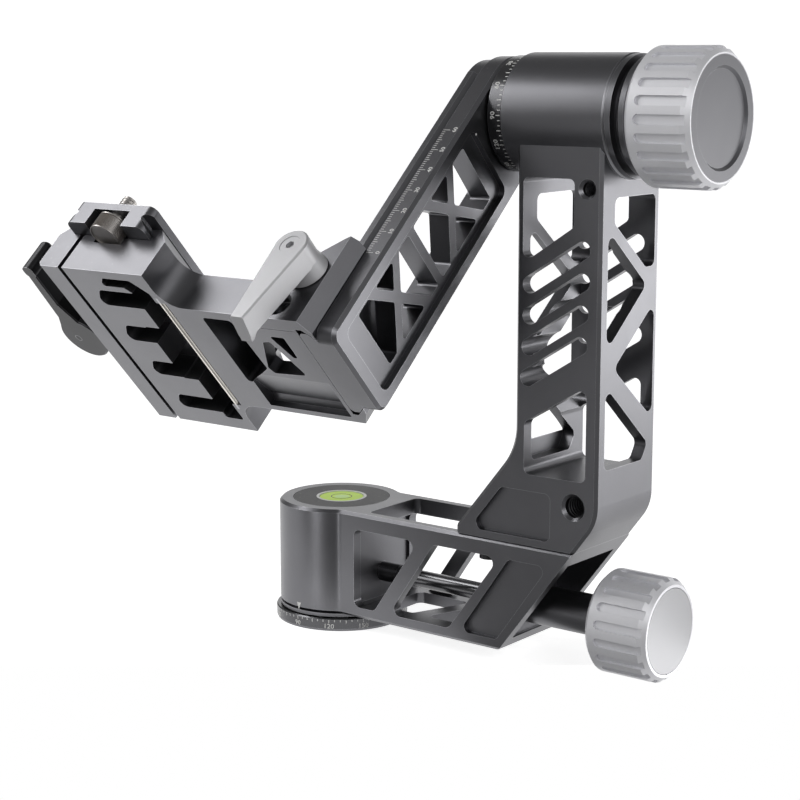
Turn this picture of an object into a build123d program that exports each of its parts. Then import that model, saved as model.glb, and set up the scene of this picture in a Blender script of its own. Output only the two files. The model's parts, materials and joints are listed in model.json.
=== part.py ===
from build123d import *
import math
import os

# Gimbal tripod head: a pan base, a hollow truss arm with an upright and a tilt barrel,
# and a swing arm that carries a height-adjustable deck with a lever clamp.
# World frame: origin at the bottom centre of the pan base, +Z up, +X towards the upright.
# The swing parts are drawn in a frame turned about the tilt axis: X along the tilt axis,
# Y towards the back and Z up the swing arm, with its origin on the tilt axis.

os.makedirs("parts", exist_ok=True)

# ---------------------------------------------------------------- driving dimensions
# pan base and housing
housing_radius = 25.5
housing_bottom_z = 5.6
deck_top_z = 50.0
pan_ring_radius = 27.2
pan_ring_top_z = 5.2
pan_ring_bore_radius = 24.0
base_lip_height = 0.8
spindle_radius = 12.0
spindle_shoulder_z = 30.0
spindle_neck_radius = 8.0
spindle_stub_radius = 6.0
spindle_top_z = 44.0
insert_radius = 7.0
insert_length = 12.0
tripod_thread_radius = 3.97
running_clearance = 0.05
part_gap = 0.3

# base arm
arm_width = 40.8
arm_bottom_z = 6.9
arm_wall = 4.4
arm_end_foot_x = 93.9
arm_end_top_x = 126.7
arm_cavity_start_x = 22.0
arm_floor_thickness = 4.6
arm_roof_thickness = 6.2
bulkhead_x = 92.0
bulkhead_thickness = 4.0
pan_lock_z = 21.6
panel_depth = 2.2

# upright and barrel
upright_left_x = 100.4
upright_right_x = 136.4
upright_depth = 40.0
upright_side_wall = 5.0
upright_face_wall = 3.8
upright_toe_x = 73.4
tilt_z = 208.1
barrel_radius = 22.5
barrel_start_x = 93.9
barrel_end_x = 137.6
quarter_inch_radius = 2.6
three_eighths_radius = 4.0

# tilt axle and knobs
tilt_shaft_radius = 7.0
tilt_knob_radius = 25.0
tilt_knob_start_x = 146.9
tilt_knob_end_x = 172.2
tilt_knob_flutes = 24
pan_knob_radius = 19.6
pan_knob_start_x = 131.3
pan_knob_end_x = 156.6
pan_knob_flutes = 18

# swing arm
rest_tilt = 47.65
swing_face_x = 87.0
swing_back_x = 72.6
swing_rail_x = 79.3
swing_half_width = 21.0
swing_bottom = -128.5
rail_waist = 18.0
lattice_recess = 2.5
bar_half_width = 1.9
bar_angle = 38.0

# deck, clamp and plate
deck_bottom = -128.5
deck_seat = -112.4
deck_half_width = 27.4
carriage_top = -88.5
carriage_slope_foot = 52.0
cheek_thickness = 5.8
clamp_center_x = -13.6
clamp_half_length = 43.8
clamp_right_x = 13.6
clamp_slit_x = -27.5
clamp_jaw_x = -29.7
clamp_left_x = -40.4
lip_top = -107.3
lip_shoulder = -113.2
channel_floor = -115.5
plate_half_width = 19.5
plate_half_length = 50.4
plate_bottom = -112.2
plate_top = -102.0
plate_ceiling = -105.0
plate_gap = 0.2
height_lever_x = 66.8
height_lever_z = -106.5
lever_hub_face_y = -41.0
cam_pin_x = -54.0
cam_y = 1.0
cam_z = -121.5
cam_radius = 10.5
cam_offset = 2.8
camera_screw_y = -46.2
cheek_thread = (63.4, -121.8)

# ---------------------------------------------------------------- frames and helpers
tilt_angle = math.radians(rest_tilt)
swing_origin = Vector(0, 0, tilt_z)
swing_x = Vector(1, 0, 0)
swing_y = Vector(0, math.cos(tilt_angle), -math.sin(tilt_angle))
swing_z = Vector(0, math.sin(tilt_angle), math.cos(tilt_angle))


def side_plane(x):
    """Plane across the tilt axis: its sketch runs along the swing's Y and Z."""
    return Plane(origin=swing_origin + swing_x * x, x_dir=swing_y, z_dir=swing_x)


def deck_plane(z):
    """Plane square to the swing arm: its sketch runs along X and the swing's Y."""
    return Plane(origin=swing_origin + swing_z * z, x_dir=swing_x, z_dir=swing_z)


def front_plane(y):
    """Plane that faces the front: its sketch runs along X and the swing's Z."""
    return Plane(origin=swing_origin + swing_y * y, x_dir=swing_x, z_dir=-swing_y)


def rounded(points, radius, mode=Mode.ADD):
    """Adds a polygon with rounded corners to the open sketch."""
    face = Polygon(*points, align=None, mode=Mode.PRIVATE).face()
    add(face.fillet_2d(radius, face.vertices()), mode=mode)


def axial_plane(x, z):
    """Plane across an X axis at height z in the fixed frame."""
    return Plane(origin=(x, 0, z), x_dir=(0, 1, 0), z_dir=(1, 0, 0))


def axial_tube(start_x, end_x, outer, inner, z, name):
    """A plain ring or sleeve along X."""
    with BuildPart() as tube:
        with BuildSketch(axial_plane(start_x, z)):
            Circle(outer)
            if inner > 0:
                Circle(inner, mode=Mode.SUBTRACT)
        extrude(amount=end_x - start_x)
    return save(tube.part, name)


def save(part, name):
    """Labels a finished piece and writes its STEP file."""
    part.label = name
    export_step(part, f"parts/{name}.step")
    return part


def finger_knob(radius, start_x, end_x, z, flutes, flute_width, face_radius, cap_seat, bore, name):
    """A round knob with grooves that start behind a plain rim and run out at the front bevel."""
    length = end_x - start_x
    bevel = radius - face_radius
    rear_bevel = 1.6
    rim = 4.2
    groove_depth = 1.15
    with BuildPart() as knob:
        with BuildSketch(Plane(origin=(start_x, 0, z), x_dir=(1, 0, 0), z_dir=(0, -1, 0))):
            with BuildLine():
                Polyline(
                    (0, bore),
                    (0, radius - rear_bevel),
                    (rear_bevel, radius),
                    (length - bevel * 1.15, radius),
                    (length, face_radius),
                    (length, cap_seat),
                    (length - 3.0, cap_seat),
                    (length - 3.0, bore),
                    close=True,
                )
            make_face()
        revolve(axis=Axis((0, 0, z), (1, 0, 0)))
        with BuildSketch(Plane.XY.offset(z + radius - groove_depth)) as groove:
            with Locations((start_x + rim + flute_width / 2, 0)):
                Circle(flute_width / 2)
            with Locations((start_x + rim + flute_width / 2 + length / 2, 0)):
                Rectangle(length, flute_width)
        cutter = extrude(amount=groove_depth + 1, mode=Mode.PRIVATE)
        for index in range(flutes):
            turned = cutter.rotate(Axis((0, 0, z), (1, 0, 0)), index * 360 / flutes)
            add(turned, mode=Mode.SUBTRACT)
    return save(knob.part, name)


# ---------------------------------------------------------------- pan base, fixed to the tripod
with BuildPart() as pan_base:
    with BuildSketch(Plane.XZ):
        with BuildLine():
            Polyline(
                (insert_radius, 0),
                (pan_ring_radius - 0.4, 0),
                (pan_ring_radius - 0.4, base_lip_height),
                (pan_ring_bore_radius, base_lip_height),
                (pan_ring_bore_radius, pan_ring_top_z),
                (spindle_radius, pan_ring_top_z),
                (spindle_radius, spindle_shoulder_z),
                (spindle_neck_radius, spindle_shoulder_z),
                (spindle_neck_radius, 38.0),
                (spindle_stub_radius, 38.0),
                (spindle_stub_radius, spindle_top_z),
                (0, spindle_top_z),
                (0, insert_length),
                (insert_radius, insert_length),
                close=True,
            )
        make_face()
    revolve(axis=Axis.Z)
save(pan_base.part, "pan_base")

with BuildPart() as pan_scale_ring:
    with BuildSketch(Plane.XY.offset(base_lip_height)):
        Circle(pan_ring_radius)
        Circle(pan_ring_bore_radius, mode=Mode.SUBTRACT)
    extrude(amount=pan_ring_top_z - base_lip_height)
    chamfer(pan_scale_ring.faces().sort_by(Axis.Z)[-1].outer_wire().edges(), 0.4)
save(pan_scale_ring.part, "pan_scale_ring")

with BuildPart() as thread_insert:
    Cylinder(insert_radius - 0.02, insert_length, align=(Align.CENTER, Align.CENTER, Align.MIN))
    Hole(tripod_thread_radius)
save(thread_insert.part, "thread_insert")

thrust_bearing_height = 4.0
with BuildPart() as pan_thrust_bearing:
    with BuildSketch(Plane.XY.offset(pan_ring_top_z)):
        Circle(19.5)
        Circle(spindle_radius + running_clearance, mode=Mode.SUBTRACT)
    extrude(amount=thrust_bearing_height)
save(pan_thrust_bearing.part, "pan_thrust_bearing")

pan_bearing_radius = 14.0
with BuildPart() as pan_ball_bearing:
    with BuildSketch(Plane.XY.offset(spindle_shoulder_z)):
        Circle(pan_bearing_radius)
        Circle(spindle_neck_radius, mode=Mode.SUBTRACT)
    extrude(amount=8.0)
    with BuildSketch(Plane.XY.offset(spindle_shoulder_z + 7.4)):
        Circle(12.4)
        Circle(9.6, mode=Mode.SUBTRACT)
    extrude(amount=0.6, mode=Mode.SUBTRACT)
save(pan_ball_bearing.part, "pan_ball_bearing")

with BuildPart() as pan_retaining_nut:
    with BuildSketch(Plane.XY.offset(38.0)):
        RegularPolygon(9.5, 6, major_radius=False)
        Circle(spindle_stub_radius, mode=Mode.SUBTRACT)
    extrude(amount=5.0)
save(pan_retaining_nut.part, "pan_retaining_nut")

# ---------------------------------------------------------------- base arm, turns on the pan base
arm_half = arm_width / 2
arm_cavity_half = arm_half - arm_wall
arm_slope = (arm_end_top_x - arm_end_foot_x) / (deck_top_z - arm_bottom_z)
cavity_floor_z = arm_bottom_z + arm_floor_thickness
cavity_roof_z = deck_top_z - arm_roof_thickness
cap_radius = 19.7
cap_seat_radius = 20.0
cap_seat_z = 46.4

first_window = [(23.2, 43.4), (55.6, 43.4), (33.6, 11.4), (23.2, 11.4)]
second_window = [(63.0, 43.4), (94.2, 43.4), (70.4, 11.4), (41.0, 11.4)]
fixing_screws = [(82, -9), (82, 9), (106, -9), (106, 9)]
end_recess = [(98.2, 43.3), (116.2, 43.3), (93.0, 11.2), (75.6, 11.2)]

with BuildPart() as base_arm:
    with BuildSketch(Plane.XY.offset(arm_bottom_z)):
        Circle(housing_radius)
        Rectangle(arm_end_top_x, arm_width, align=(Align.MIN, Align.CENTER))
    extrude(amount=deck_top_z - arm_bottom_z)
    blend_edges = [
        edge
        for edge in base_arm.edges().filter_by(Axis.Z)
        if 10 < edge.center().X < 20
    ]
    fillet(blend_edges, 5.0)
    # the slanted end, parallel to the truss webs
    with BuildSketch(Plane.XZ):
        with BuildLine():
            Polyline(
                (arm_end_foot_x, arm_bottom_z),
                (arm_end_top_x, deck_top_z),
                (arm_end_top_x + 5, deck_top_z),
                (arm_end_top_x + 5, arm_bottom_z - 1),
                (arm_end_foot_x, arm_bottom_z - 1),
                close=True,
            )
        make_face()
    extrude(amount=arm_width, both=True, mode=Mode.SUBTRACT)
    # edge bevels along the top and the two long bottom edges
    top_edges = [
        edge
        for edge in base_arm.faces().sort_by(Axis.Z)[-1].outer_wire().edges()
        if abs(edge.center().X - arm_end_top_x) > 0.1
    ]
    chamfer(top_edges, 1.2)
    sole_edges = [
        edge
        for edge in base_arm.faces().sort_by(Axis.Z)[0].outer_wire().edges()
        if abs(abs(edge.center().Y) - arm_half) < 0.1
    ]
    chamfer(sole_edges, 1.2)
    fillet(base_arm.edges().filter_by(Axis.Y).group_by(Axis.Z)[0].sort_by(Axis.X)[-1], 3.0)
    # skirt of the housing just above the scale ring
    with BuildSketch(Plane.XY.offset(housing_bottom_z)):
        Circle(housing_radius)
    extrude(amount=arm_bottom_z - housing_bottom_z)
    # hollow between the two side walls, open at the slanted end
    with BuildSketch(Plane.XZ):
        with BuildLine():
            Polyline(
                (arm_cavity_start_x, cavity_floor_z),
                (bulkhead_x, cavity_floor_z),
                (bulkhead_x, cavity_roof_z),
                (arm_cavity_start_x, cavity_roof_z),
                close=True,
            )
        make_face()
        with BuildLine():
            Polyline(
                (bulkhead_x + bulkhead_thickness, cavity_floor_z),
                (bulkhead_x + bulkhead_thickness + 50, cavity_floor_z),
                (bulkhead_x + bulkhead_thickness + 50, cavity_roof_z),
                (bulkhead_x + bulkhead_thickness, cavity_roof_z),
                close=True,
            )
        make_face()
    extrude(amount=arm_cavity_half, both=True, mode=Mode.SUBTRACT)
    # truss windows through both side walls, and a shallow panel by the slanted end
    with BuildSketch(Plane.XZ):
        rounded(first_window, 3.0)
        rounded(second_window, 3.0)
    extrude(amount=arm_width, both=True, mode=Mode.SUBTRACT)
    for side in (-1, 1):
        with BuildSketch(Plane.XZ.offset(side * (arm_half - panel_depth))):
            rounded(end_recess, 2.5)
        extrude(amount=side * 5, mode=Mode.SUBTRACT)
    # slot in the roof and two windows in the floor
    with BuildSketch(Plane.XY.offset(deck_top_z)):
        rounded([(27.0, -15.8), (76.0, -15.8), (76.0, 15.8), (27.0, 15.8)], 2.5)
    extrude(amount=-arm_roof_thickness - 1, mode=Mode.SUBTRACT)
    with BuildSketch(Plane.XY.offset(arm_bottom_z - 1)):
        rounded([(31.0, -13.0), (47.0, -13.0), (57.0, 13.0), (31.0, 13.0)], 2.5)
        rounded([(54.0, -13.0), (84.0, -13.0), (84.0, 13.0), (64.0, 13.0)], 2.5)
    extrude(amount=arm_floor_thickness + 2, mode=Mode.SUBTRACT)
    # bores: pan journal, bearings, cap seat and lock rod
    with BuildSketch(Plane.XZ):
        with BuildLine():
            Polyline(
                (0, housing_bottom_z - 1),
                (20.0, housing_bottom_z - 1),
                (20.0, 9.6),
                (spindle_radius + running_clearance, 9.6),
                (spindle_radius + running_clearance, 29.6),
                (pan_bearing_radius + running_clearance, 29.6),
                (pan_bearing_radius + running_clearance, 38.4),
                (16.0, 38.4),
                (16.0, cap_seat_z),
                (cap_seat_radius, cap_seat_z),
                (cap_seat_radius, deck_top_z + 1),
                (0, deck_top_z + 1),
                close=True,
            )
        make_face()
    revolve(axis=Axis.Z, mode=Mode.SUBTRACT)
    with BuildSketch(axial_plane(0, pan_lock_z)):
        Circle(4.0 + running_clearance)
    extrude(amount=arm_cavity_start_x + 5, mode=Mode.SUBTRACT)
    with BuildSketch(axial_plane(bulkhead_x - 1, pan_lock_z)):
        Circle(6.0 + 0.02)
    extrude(amount=bulkhead_thickness + 2, mode=Mode.SUBTRACT)
    # clearance holes for the screws that hold the upright
    with BuildSketch(Plane.XY.offset(deck_top_z)):
        with Locations(*fixing_screws):
            Circle(2.6)
    extrude(amount=-arm_roof_thickness - 1, mode=Mode.SUBTRACT)
save(base_arm.part, "base_arm")

with BuildPart() as pan_cap:
    with BuildSketch(Plane.XY.offset(cap_seat_z)):
        Circle(cap_radius)
    extrude(amount=deck_top_z - cap_seat_z)
    with BuildSketch(Plane.XY.offset(deck_top_z - 3.0)):
        Circle(10.4)
    extrude(amount=3.0, mode=Mode.SUBTRACT)
save(pan_cap.part, "pan_cap")

with BuildPart() as level_cup:
    with BuildSketch(Plane.XY.offset(deck_top_z - 3.0)):
        Circle(10.35)
    extrude(amount=3.0)
    with BuildSketch(Plane.XY.offset(deck_top_z - 2.4)):
        Circle(9.2)
    extrude(amount=2.4, mode=Mode.SUBTRACT)
save(level_cup.part, "level_cup")

with BuildPart() as level_vial:
    with BuildSketch(Plane.XY.offset(deck_top_z - 2.4)):
        Circle(9.15)
    extrude(amount=2.2)
    fillet(level_vial.edges().filter_by(GeomType.CIRCLE).group_by(Axis.Z)[-1], 0.6)
save(level_vial.part, "level_vial")

# ---------------------------------------------------------------- pan lock
with BuildPart() as pan_brake_shoe:
    with BuildSketch(axial_plane(12.0, pan_lock_z)):
        Circle(4.0)
    extrude(amount=6.0)
    with BuildSketch(Plane.XY.offset(pan_lock_z - 6)):
        Circle(spindle_radius + 0.35)
    extrude(amount=12, mode=Mode.SUBTRACT)
save(pan_brake_shoe.part, "pan_brake_shoe")

rod_radius = 3.5
sleeve_radius = 7.8
with BuildPart() as pan_lock_rod:
    with BuildSketch(axial_plane(18.4, pan_lock_z)):
        Circle(4.0)
    extrude(amount=13.0)
    with BuildSketch(axial_plane(31.4, pan_lock_z)):
        Circle(rod_radius)
    extrude(amount=150.0 - 31.4)
    chamfer(pan_lock_rod.edges().filter_by(GeomType.CIRCLE).sort_by(Axis.X)[0], 0.6)
save(pan_lock_rod.part, "pan_lock_rod")

with BuildPart() as pan_lock_sleeve:
    with BuildSketch(axial_plane(bulkhead_x, pan_lock_z)):
        Circle(6.0)
    extrude(amount=bulkhead_thickness)
    with BuildSketch(axial_plane(bulkhead_x + bulkhead_thickness, pan_lock_z)):
        Circle(sleeve_radius)
    extrude(amount=pan_knob_start_x - part_gap - bulkhead_x - bulkhead_thickness)
    with BuildSketch(axial_plane(bulkhead_x - 1, pan_lock_z)):
        Circle(rod_radius + running_clearance)
    extrude(amount=60, mode=Mode.SUBTRACT)
save(pan_lock_sleeve.part, "pan_lock_sleeve")

finger_knob(
    pan_knob_radius, pan_knob_start_x, pan_knob_end_x, pan_lock_z,
    pan_knob_flutes, 3.4, 17.3, 16.2, rod_radius, "pan_lock_knob",
)
axial_tube(pan_knob_end_x - 3.0, pan_knob_end_x, 16.0, 0, pan_lock_z, "pan_lock_knob_cap")

# ---------------------------------------------------------------- upright with the tilt barrel
toe_slope = 0.812
knee_z = 53.0 + (upright_left_x - upright_toe_x) / toe_slope
heel_z = deck_top_z + (upright_right_x - arm_end_top_x) / arm_slope
upright_half = upright_depth / 2
shaft_z = tilt_z
bearing_radius = 13.0
side_cavity_half = upright_half - upright_face_wall
top_window = [(103.2, 186.4), (125.0, 186.4), (125.0, 169.4), (107.0, 157.6), (103.2, 157.6)]
low_window = [(104.6, 96.6), (131.4, 112.4), (131.4, 77.2), (104.6, 77.2)]
slot_angle = 31.6
slot_centers = [(117.7, 154.5), (117.7, 143.1), (117.4, 131.6), (117.0, 120.2)]
foot_panel = [(94.4, 70.8), (116.4, 70.8), (116.4, 52.8), (84.2, 52.8), (82.6, 56.4)]
side_windows = [
    [(-11.0, 179.8), (16.8, 179.8), (16.8, 153.4), (10.6, 153.4), (-11.0, 170.6)],
    [(-15.2, 168.6), (11.6, 146.8), (-15.2, 125.2)],
    [(17.4, 140.0), (17.4, 96.4), (-10.0, 118.2)],
    [(-15.2, 112.6), (14.6, 87.4), (10.6, 81.4), (-15.2, 81.4)],
]
with BuildPart() as upright:
    with BuildSketch(Plane.XZ):
        with BuildLine():
            FilletPolyline(
                (upright_toe_x, deck_top_z),
                (upright_toe_x, 53.0),
                (upright_left_x, knee_z),
                (upright_left_x, tilt_z),
                radius=(2.6, 24.0),
            )
            Line((upright_left_x, tilt_z), (upright_right_x, tilt_z))
            FilletPolyline(
                (upright_right_x, tilt_z),
                (upright_right_x, heel_z),
                (arm_end_top_x, deck_top_z),
                radius=17.0,
            )
            Line((arm_end_top_x, deck_top_z), (upright_toe_x, deck_top_z))
        make_face()
    extrude(amount=upright_half, both=True)
    side_edges = [
        edge
        for edge in upright.edges()
        if abs(abs(edge.center().Y) - upright_half) < 0.1 and deck_top_z + 0.5 < edge.center().Z < tilt_z - 1
    ]
    chamfer(side_edges, 1.2)
    with BuildSketch(axial_plane(barrel_start_x, tilt_z)):
        Circle(barrel_radius)
    extrude(amount=barrel_end_x - barrel_start_x)
    barrel_rims = [
        edge
        for edge in upright.edges().filter_by(GeomType.CIRCLE)
        if edge.center().X in (barrel_start_x, barrel_end_x) or abs(edge.center().X - barrel_end_x) < 0.01
    ]
    chamfer(barrel_rims, 0.6)
    # hollow column: a narrow top beside the thread boss, full width below it
    with BuildSketch(Plane.XZ):
        rounded(
            [
                (upright_left_x + upright_side_wall, 77.2),
                (upright_right_x - upright_side_wall, 77.2),
                (upright_right_x - upright_side_wall, 165.0),
                (125.0, 171.0),
                (125.0, 186.4),
                (upright_left_x + upright_side_wall, 186.4),
            ],
            1.5,
        )
    extrude(amount=side_cavity_half, both=True, mode=Mode.SUBTRACT)
    # windows and louvre slots through the front and back walls
    with BuildSketch(Plane.XZ):
        rounded(top_window, 2.2)
        rounded(low_window, 2.4)
        for slot_x, slot_z in slot_centers:
            with Locations(Location((slot_x, slot_z, 0), (0, 0, slot_angle))):
                SlotOverall(32.6, 6.4)
    extrude(amount=upright_depth, both=True, mode=Mode.SUBTRACT)
    # triangular windows through both side walls
    with BuildSketch(axial_plane(upright_left_x - 1, 0)):
        for window in side_windows:
            rounded(window, 2.6)
    extrude(amount=upright_right_x - upright_left_x + 2, mode=Mode.SUBTRACT)
    # shallow panels on the foot
    for side in (-1, 1):
        with BuildSketch(Plane.XZ.offset(side * (upright_half - panel_depth))):
            rounded(foot_panel, 2.5)
        extrude(amount=side * 5, mode=Mode.SUBTRACT)
    # accessory threads in the front face
    with BuildSketch(Plane.XZ.offset(upright_half)):
        with Locations((130.4, 183.0)):
            Circle(quarter_inch_radius)
    extrude(amount=-8, mode=Mode.SUBTRACT)
    with BuildSketch(Plane.XZ.offset(upright_half)):
        with Locations((126.4, 67.4)):
            Circle(three_eighths_radius)
    extrude(amount=-12, mode=Mode.SUBTRACT)
    mouths = [
        edge
        for edge in upright.edges().filter_by(GeomType.CIRCLE)
        if abs(edge.center().Y + upright_half) < 0.01 and edge.radius < 4.5
        and abs(edge.radius - 3.2) > 0.1 and edge.length > 2 * math.pi * edge.radius * 0.99
    ]
    chamfer(mouths, 1.1)
    # tapped holes in the sole for the fixing screws
    with BuildSketch(Plane.XY.offset(deck_top_z)):
        with Locations(*fixing_screws):
            Circle(2.52)
    extrude(amount=8, mode=Mode.SUBTRACT)
    # barrel bores for the bearings and the axle
    with BuildSketch(axial_plane(barrel_start_x - 1, tilt_z)):
        Circle(bearing_radius)
    extrude(amount=8.5, mode=Mode.SUBTRACT)
    with BuildSketch(axial_plane(barrel_end_x - 7.5, tilt_z)):
        Circle(bearing_radius)
    extrude(amount=8.5, mode=Mode.SUBTRACT)
    with BuildSketch(axial_plane(barrel_start_x, tilt_z)):
        Circle(11.0)
    extrude(amount=barrel_end_x - barrel_start_x, mode=Mode.SUBTRACT)
save(upright.part, "upright")

with BuildPart() as upright_screws:
    with BuildSketch(Plane.XY.offset(deck_top_z - arm_roof_thickness - 4.6)):
        with Locations(*fixing_screws):
            Circle(4.2)
    extrude(amount=4.6)
    with BuildSketch(Plane.XY.offset(deck_top_z - arm_roof_thickness)):
        with Locations(*fixing_screws):
            Circle(2.5)
    extrude(amount=arm_roof_thickness + 7.5)
    with BuildSketch(Plane.XY.offset(deck_top_z - arm_roof_thickness - 4.6)):
        with Locations(*fixing_screws):
            RegularPolygon(2.0, 6, major_radius=False)
    extrude(amount=2.4, mode=Mode.SUBTRACT)
save(upright_screws.part, "upright_screws")

with BuildPart() as tilt_bearings:
    for start_x in (barrel_start_x + 0.5, barrel_end_x - 7.5):
        with BuildSketch(axial_plane(start_x, tilt_z)):
            Circle(bearing_radius)
            Circle(tilt_shaft_radius + 0.03, mode=Mode.SUBTRACT)
        extrude(amount=7.0)
save(tilt_bearings.part, "tilt_bearings")

tilt_ring_start_x = swing_face_x + 0.9
axial_tube(tilt_ring_start_x, barrel_start_x, 21.4, 14.0, tilt_z, "tilt_scale_ring")

# ---------------------------------------------------------------- tilt lock
tilt_shaft_end_x = 77.2
with BuildPart() as tilt_shaft:
    with BuildSketch(axial_plane(tilt_shaft_end_x, tilt_z)):
        Circle(tilt_shaft_radius)
    extrude(amount=146.0 - tilt_shaft_end_x)
    with BuildSketch(axial_plane(swing_face_x, tilt_z)):
        Circle(12.5)
    extrude(amount=6.2)
    with BuildSketch(axial_plane(146.0, tilt_z)):
        Circle(5.0)
    extrude(amount=20.0)
    with BuildSketch(side_plane(swing_face_x)):
        with PolarLocations(9.8, 4, start_angle=45):
            Circle(1.6)
    extrude(amount=5.0, mode=Mode.SUBTRACT)
save(tilt_shaft.part, "tilt_shaft")

axial_tube(barrel_end_x + part_gap, 140.2, 22.2, tilt_shaft_radius + 0.02, tilt_z, "tilt_pressure_disc")

with BuildPart() as tilt_collar:
    with BuildSketch(axial_plane(140.2, tilt_z)):
        Circle(19.0)
    extrude(amount=2.2)
    with BuildSketch(axial_plane(142.4, tilt_z)):
        Circle(21.6)
    extrude(amount=3.6)
    with BuildSketch(axial_plane(140.2, tilt_z)):
        Circle(tilt_shaft_radius + 0.02)
    extrude(amount=5.8, mode=Mode.SUBTRACT)
    chamfer(tilt_collar.edges().filter_by(GeomType.CIRCLE).sort_by(SortBy.RADIUS)[-2:], 0.8)
save(tilt_collar.part, "tilt_collar")

finger_knob(
    tilt_knob_radius, tilt_knob_start_x, tilt_knob_end_x, tilt_z,
    tilt_knob_flutes, 3.6, 22.6, 22.0, 5.0 + running_clearance, "tilt_knob",
)

with BuildPart() as tilt_knob_cap:
    with BuildSketch(axial_plane(tilt_knob_end_x - 3.0, tilt_z)):
        Circle(21.9)
    extrude(amount=3.0)
    with BuildSketch(axial_plane(tilt_knob_end_x, tilt_z)):
        Circle(18.2)
    extrude(amount=-1.1, taper=45, mode=Mode.SUBTRACT)
save(tilt_knob_cap.part, "tilt_knob_cap")

# ---------------------------------------------------------------- swing arm
pocket_half = 16.0
cell_half = 13.0
lattice_center_y = -1.2
lower_cell = (-112.0, -74.3)
upper_cell = (-70.5, -31.2)


def lattice_cell(low, high):
    """Four windows round a crossed pair of bars, as faces in the side plane."""
    centre_z = (low + high) / 2 + 0.1
    slope = math.tan(math.radians(bar_angle))
    offset = bar_half_width / math.cos(math.radians(bar_angle))
    right = cell_half - lattice_center_y
    left = -cell_half - lattice_center_y
    rounded(
        [
            (lattice_center_y, centre_z + offset),
            (cell_half, centre_z + offset + right * slope),
            (cell_half, high),
            (-cell_half, high),
            (-cell_half, centre_z + offset - left * slope),
        ],
        1.2,
    )
    rounded(
        [
            (lattice_center_y, centre_z - offset),
            (cell_half, centre_z - offset - right * slope),
            (cell_half, low),
            (-cell_half, low),
            (-cell_half, centre_z - offset + left * slope),
        ],
        1.2,
    )
    tip = offset / slope
    rounded(
        [
            (lattice_center_y + tip, centre_z),
            (cell_half, centre_z + (right - tip) * slope),
            (cell_half, centre_z - (right - tip) * slope),
        ],
        1.0,
    )
    rounded(
        [
            (lattice_center_y - tip, centre_z),
            (-cell_half, centre_z + (-left - tip) * slope),
            (-cell_half, centre_z - (-left - tip) * slope),
        ],
        1.0,
    )


rail_tip_x = swing_rail_x - (swing_half_width - rail_waist)
with BuildPart() as swing_arm:
    # front slab with a full-round top on the tilt axis
    with BuildSketch(side_plane(swing_rail_x)):
        Circle(swing_half_width)
        Rectangle(2 * swing_half_width, -swing_bottom, align=(Align.CENTER, Align.MAX))
    extrude(amount=swing_face_x - swing_rail_x)
    foot_corners = swing_arm.edges().filter_by(Axis.X).sort_by(lambda edge: (edge.center() - swing_origin).dot(swing_z))
    fillet(foot_corners[0:2], 4.5)
    outer_loop = [
        edge
        for edge in swing_arm.faces().sort_by(Axis.X)[-1].outer_wire().edges()
    ]
    chamfer(outer_loop, 1.3)
    # dovetail rail behind the slab
    with BuildSketch(deck_plane(swing_bottom)):
        with BuildLine():
            Polyline(
                (swing_rail_x, rail_waist),
                (rail_tip_x, swing_half_width),
                (swing_back_x + 1.3, swing_half_width),
                (swing_back_x, swing_half_width - 1.3),
                (swing_back_x, -swing_half_width + 1.3),
                (swing_back_x + 1.3, -swing_half_width),
                (rail_tip_x, -swing_half_width),
                (swing_rail_x, -rail_waist),
                close=True,
            )
        make_face()
    extrude(amount=-swing_bottom)
    with BuildSketch(side_plane(swing_back_x)):
        Circle(swing_half_width - 1.3)
    extrude(amount=swing_rail_x - swing_back_x)
    # pocket in the face, and one in the back between the rails
    with BuildSketch(side_plane(swing_face_x)):
        rounded([(-pocket_half, -122.6), (pocket_half, -122.6), (pocket_half, -24.4), (-pocket_half, -24.4)], 3.5)
    extrude(amount=-lattice_recess, mode=Mode.SUBTRACT)
    with BuildSketch(side_plane(swing_back_x)):
        rounded([(-13, -116), (13, -116), (13, -27), (-13, -27)], 3)
    extrude(amount=3.0, mode=Mode.SUBTRACT)
    # crossed-bar lattice
    with BuildSketch(side_plane(swing_back_x)):
        lattice_cell(*lower_cell)
        lattice_cell(*upper_cell)
    extrude(amount=swing_face_x - swing_back_x, mode=Mode.SUBTRACT)
    # axle seat and screw holes
    with BuildSketch(side_plane(swing_back_x)):
        Circle(tilt_shaft_radius + 0.02)
        with PolarLocations(9.8, 4, start_angle=45):
            Circle(1.65)
    extrude(amount=swing_face_x - swing_back_x, mode=Mode.SUBTRACT)
    with BuildSketch(side_plane(swing_back_x)):
        with PolarLocations(9.8, 4, start_angle=45):
            Circle(3.1)
    extrude(amount=4.0, mode=Mode.SUBTRACT)
save(swing_arm.part, "swing_arm")

with BuildPart() as swing_arm_screws:
    with BuildSketch(side_plane(swing_back_x + 0.8)):
        with PolarLocations(9.8, 4, start_angle=45):
            Circle(3.0)
    extrude(amount=3.2)
    with BuildSketch(side_plane(swing_back_x + 4.0)):
        with PolarLocations(9.8, 4, start_angle=45):
            Circle(1.55)
    extrude(amount=15.0)
    with BuildSketch(side_plane(swing_back_x + 0.8)):
        with PolarLocations(9.8, 4, start_angle=45):
            RegularPolygon(1.4, 6, major_radius=False)
    extrude(amount=1.8, mode=Mode.SUBTRACT)
save(swing_arm_screws.part, "swing_arm_screws")

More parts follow.
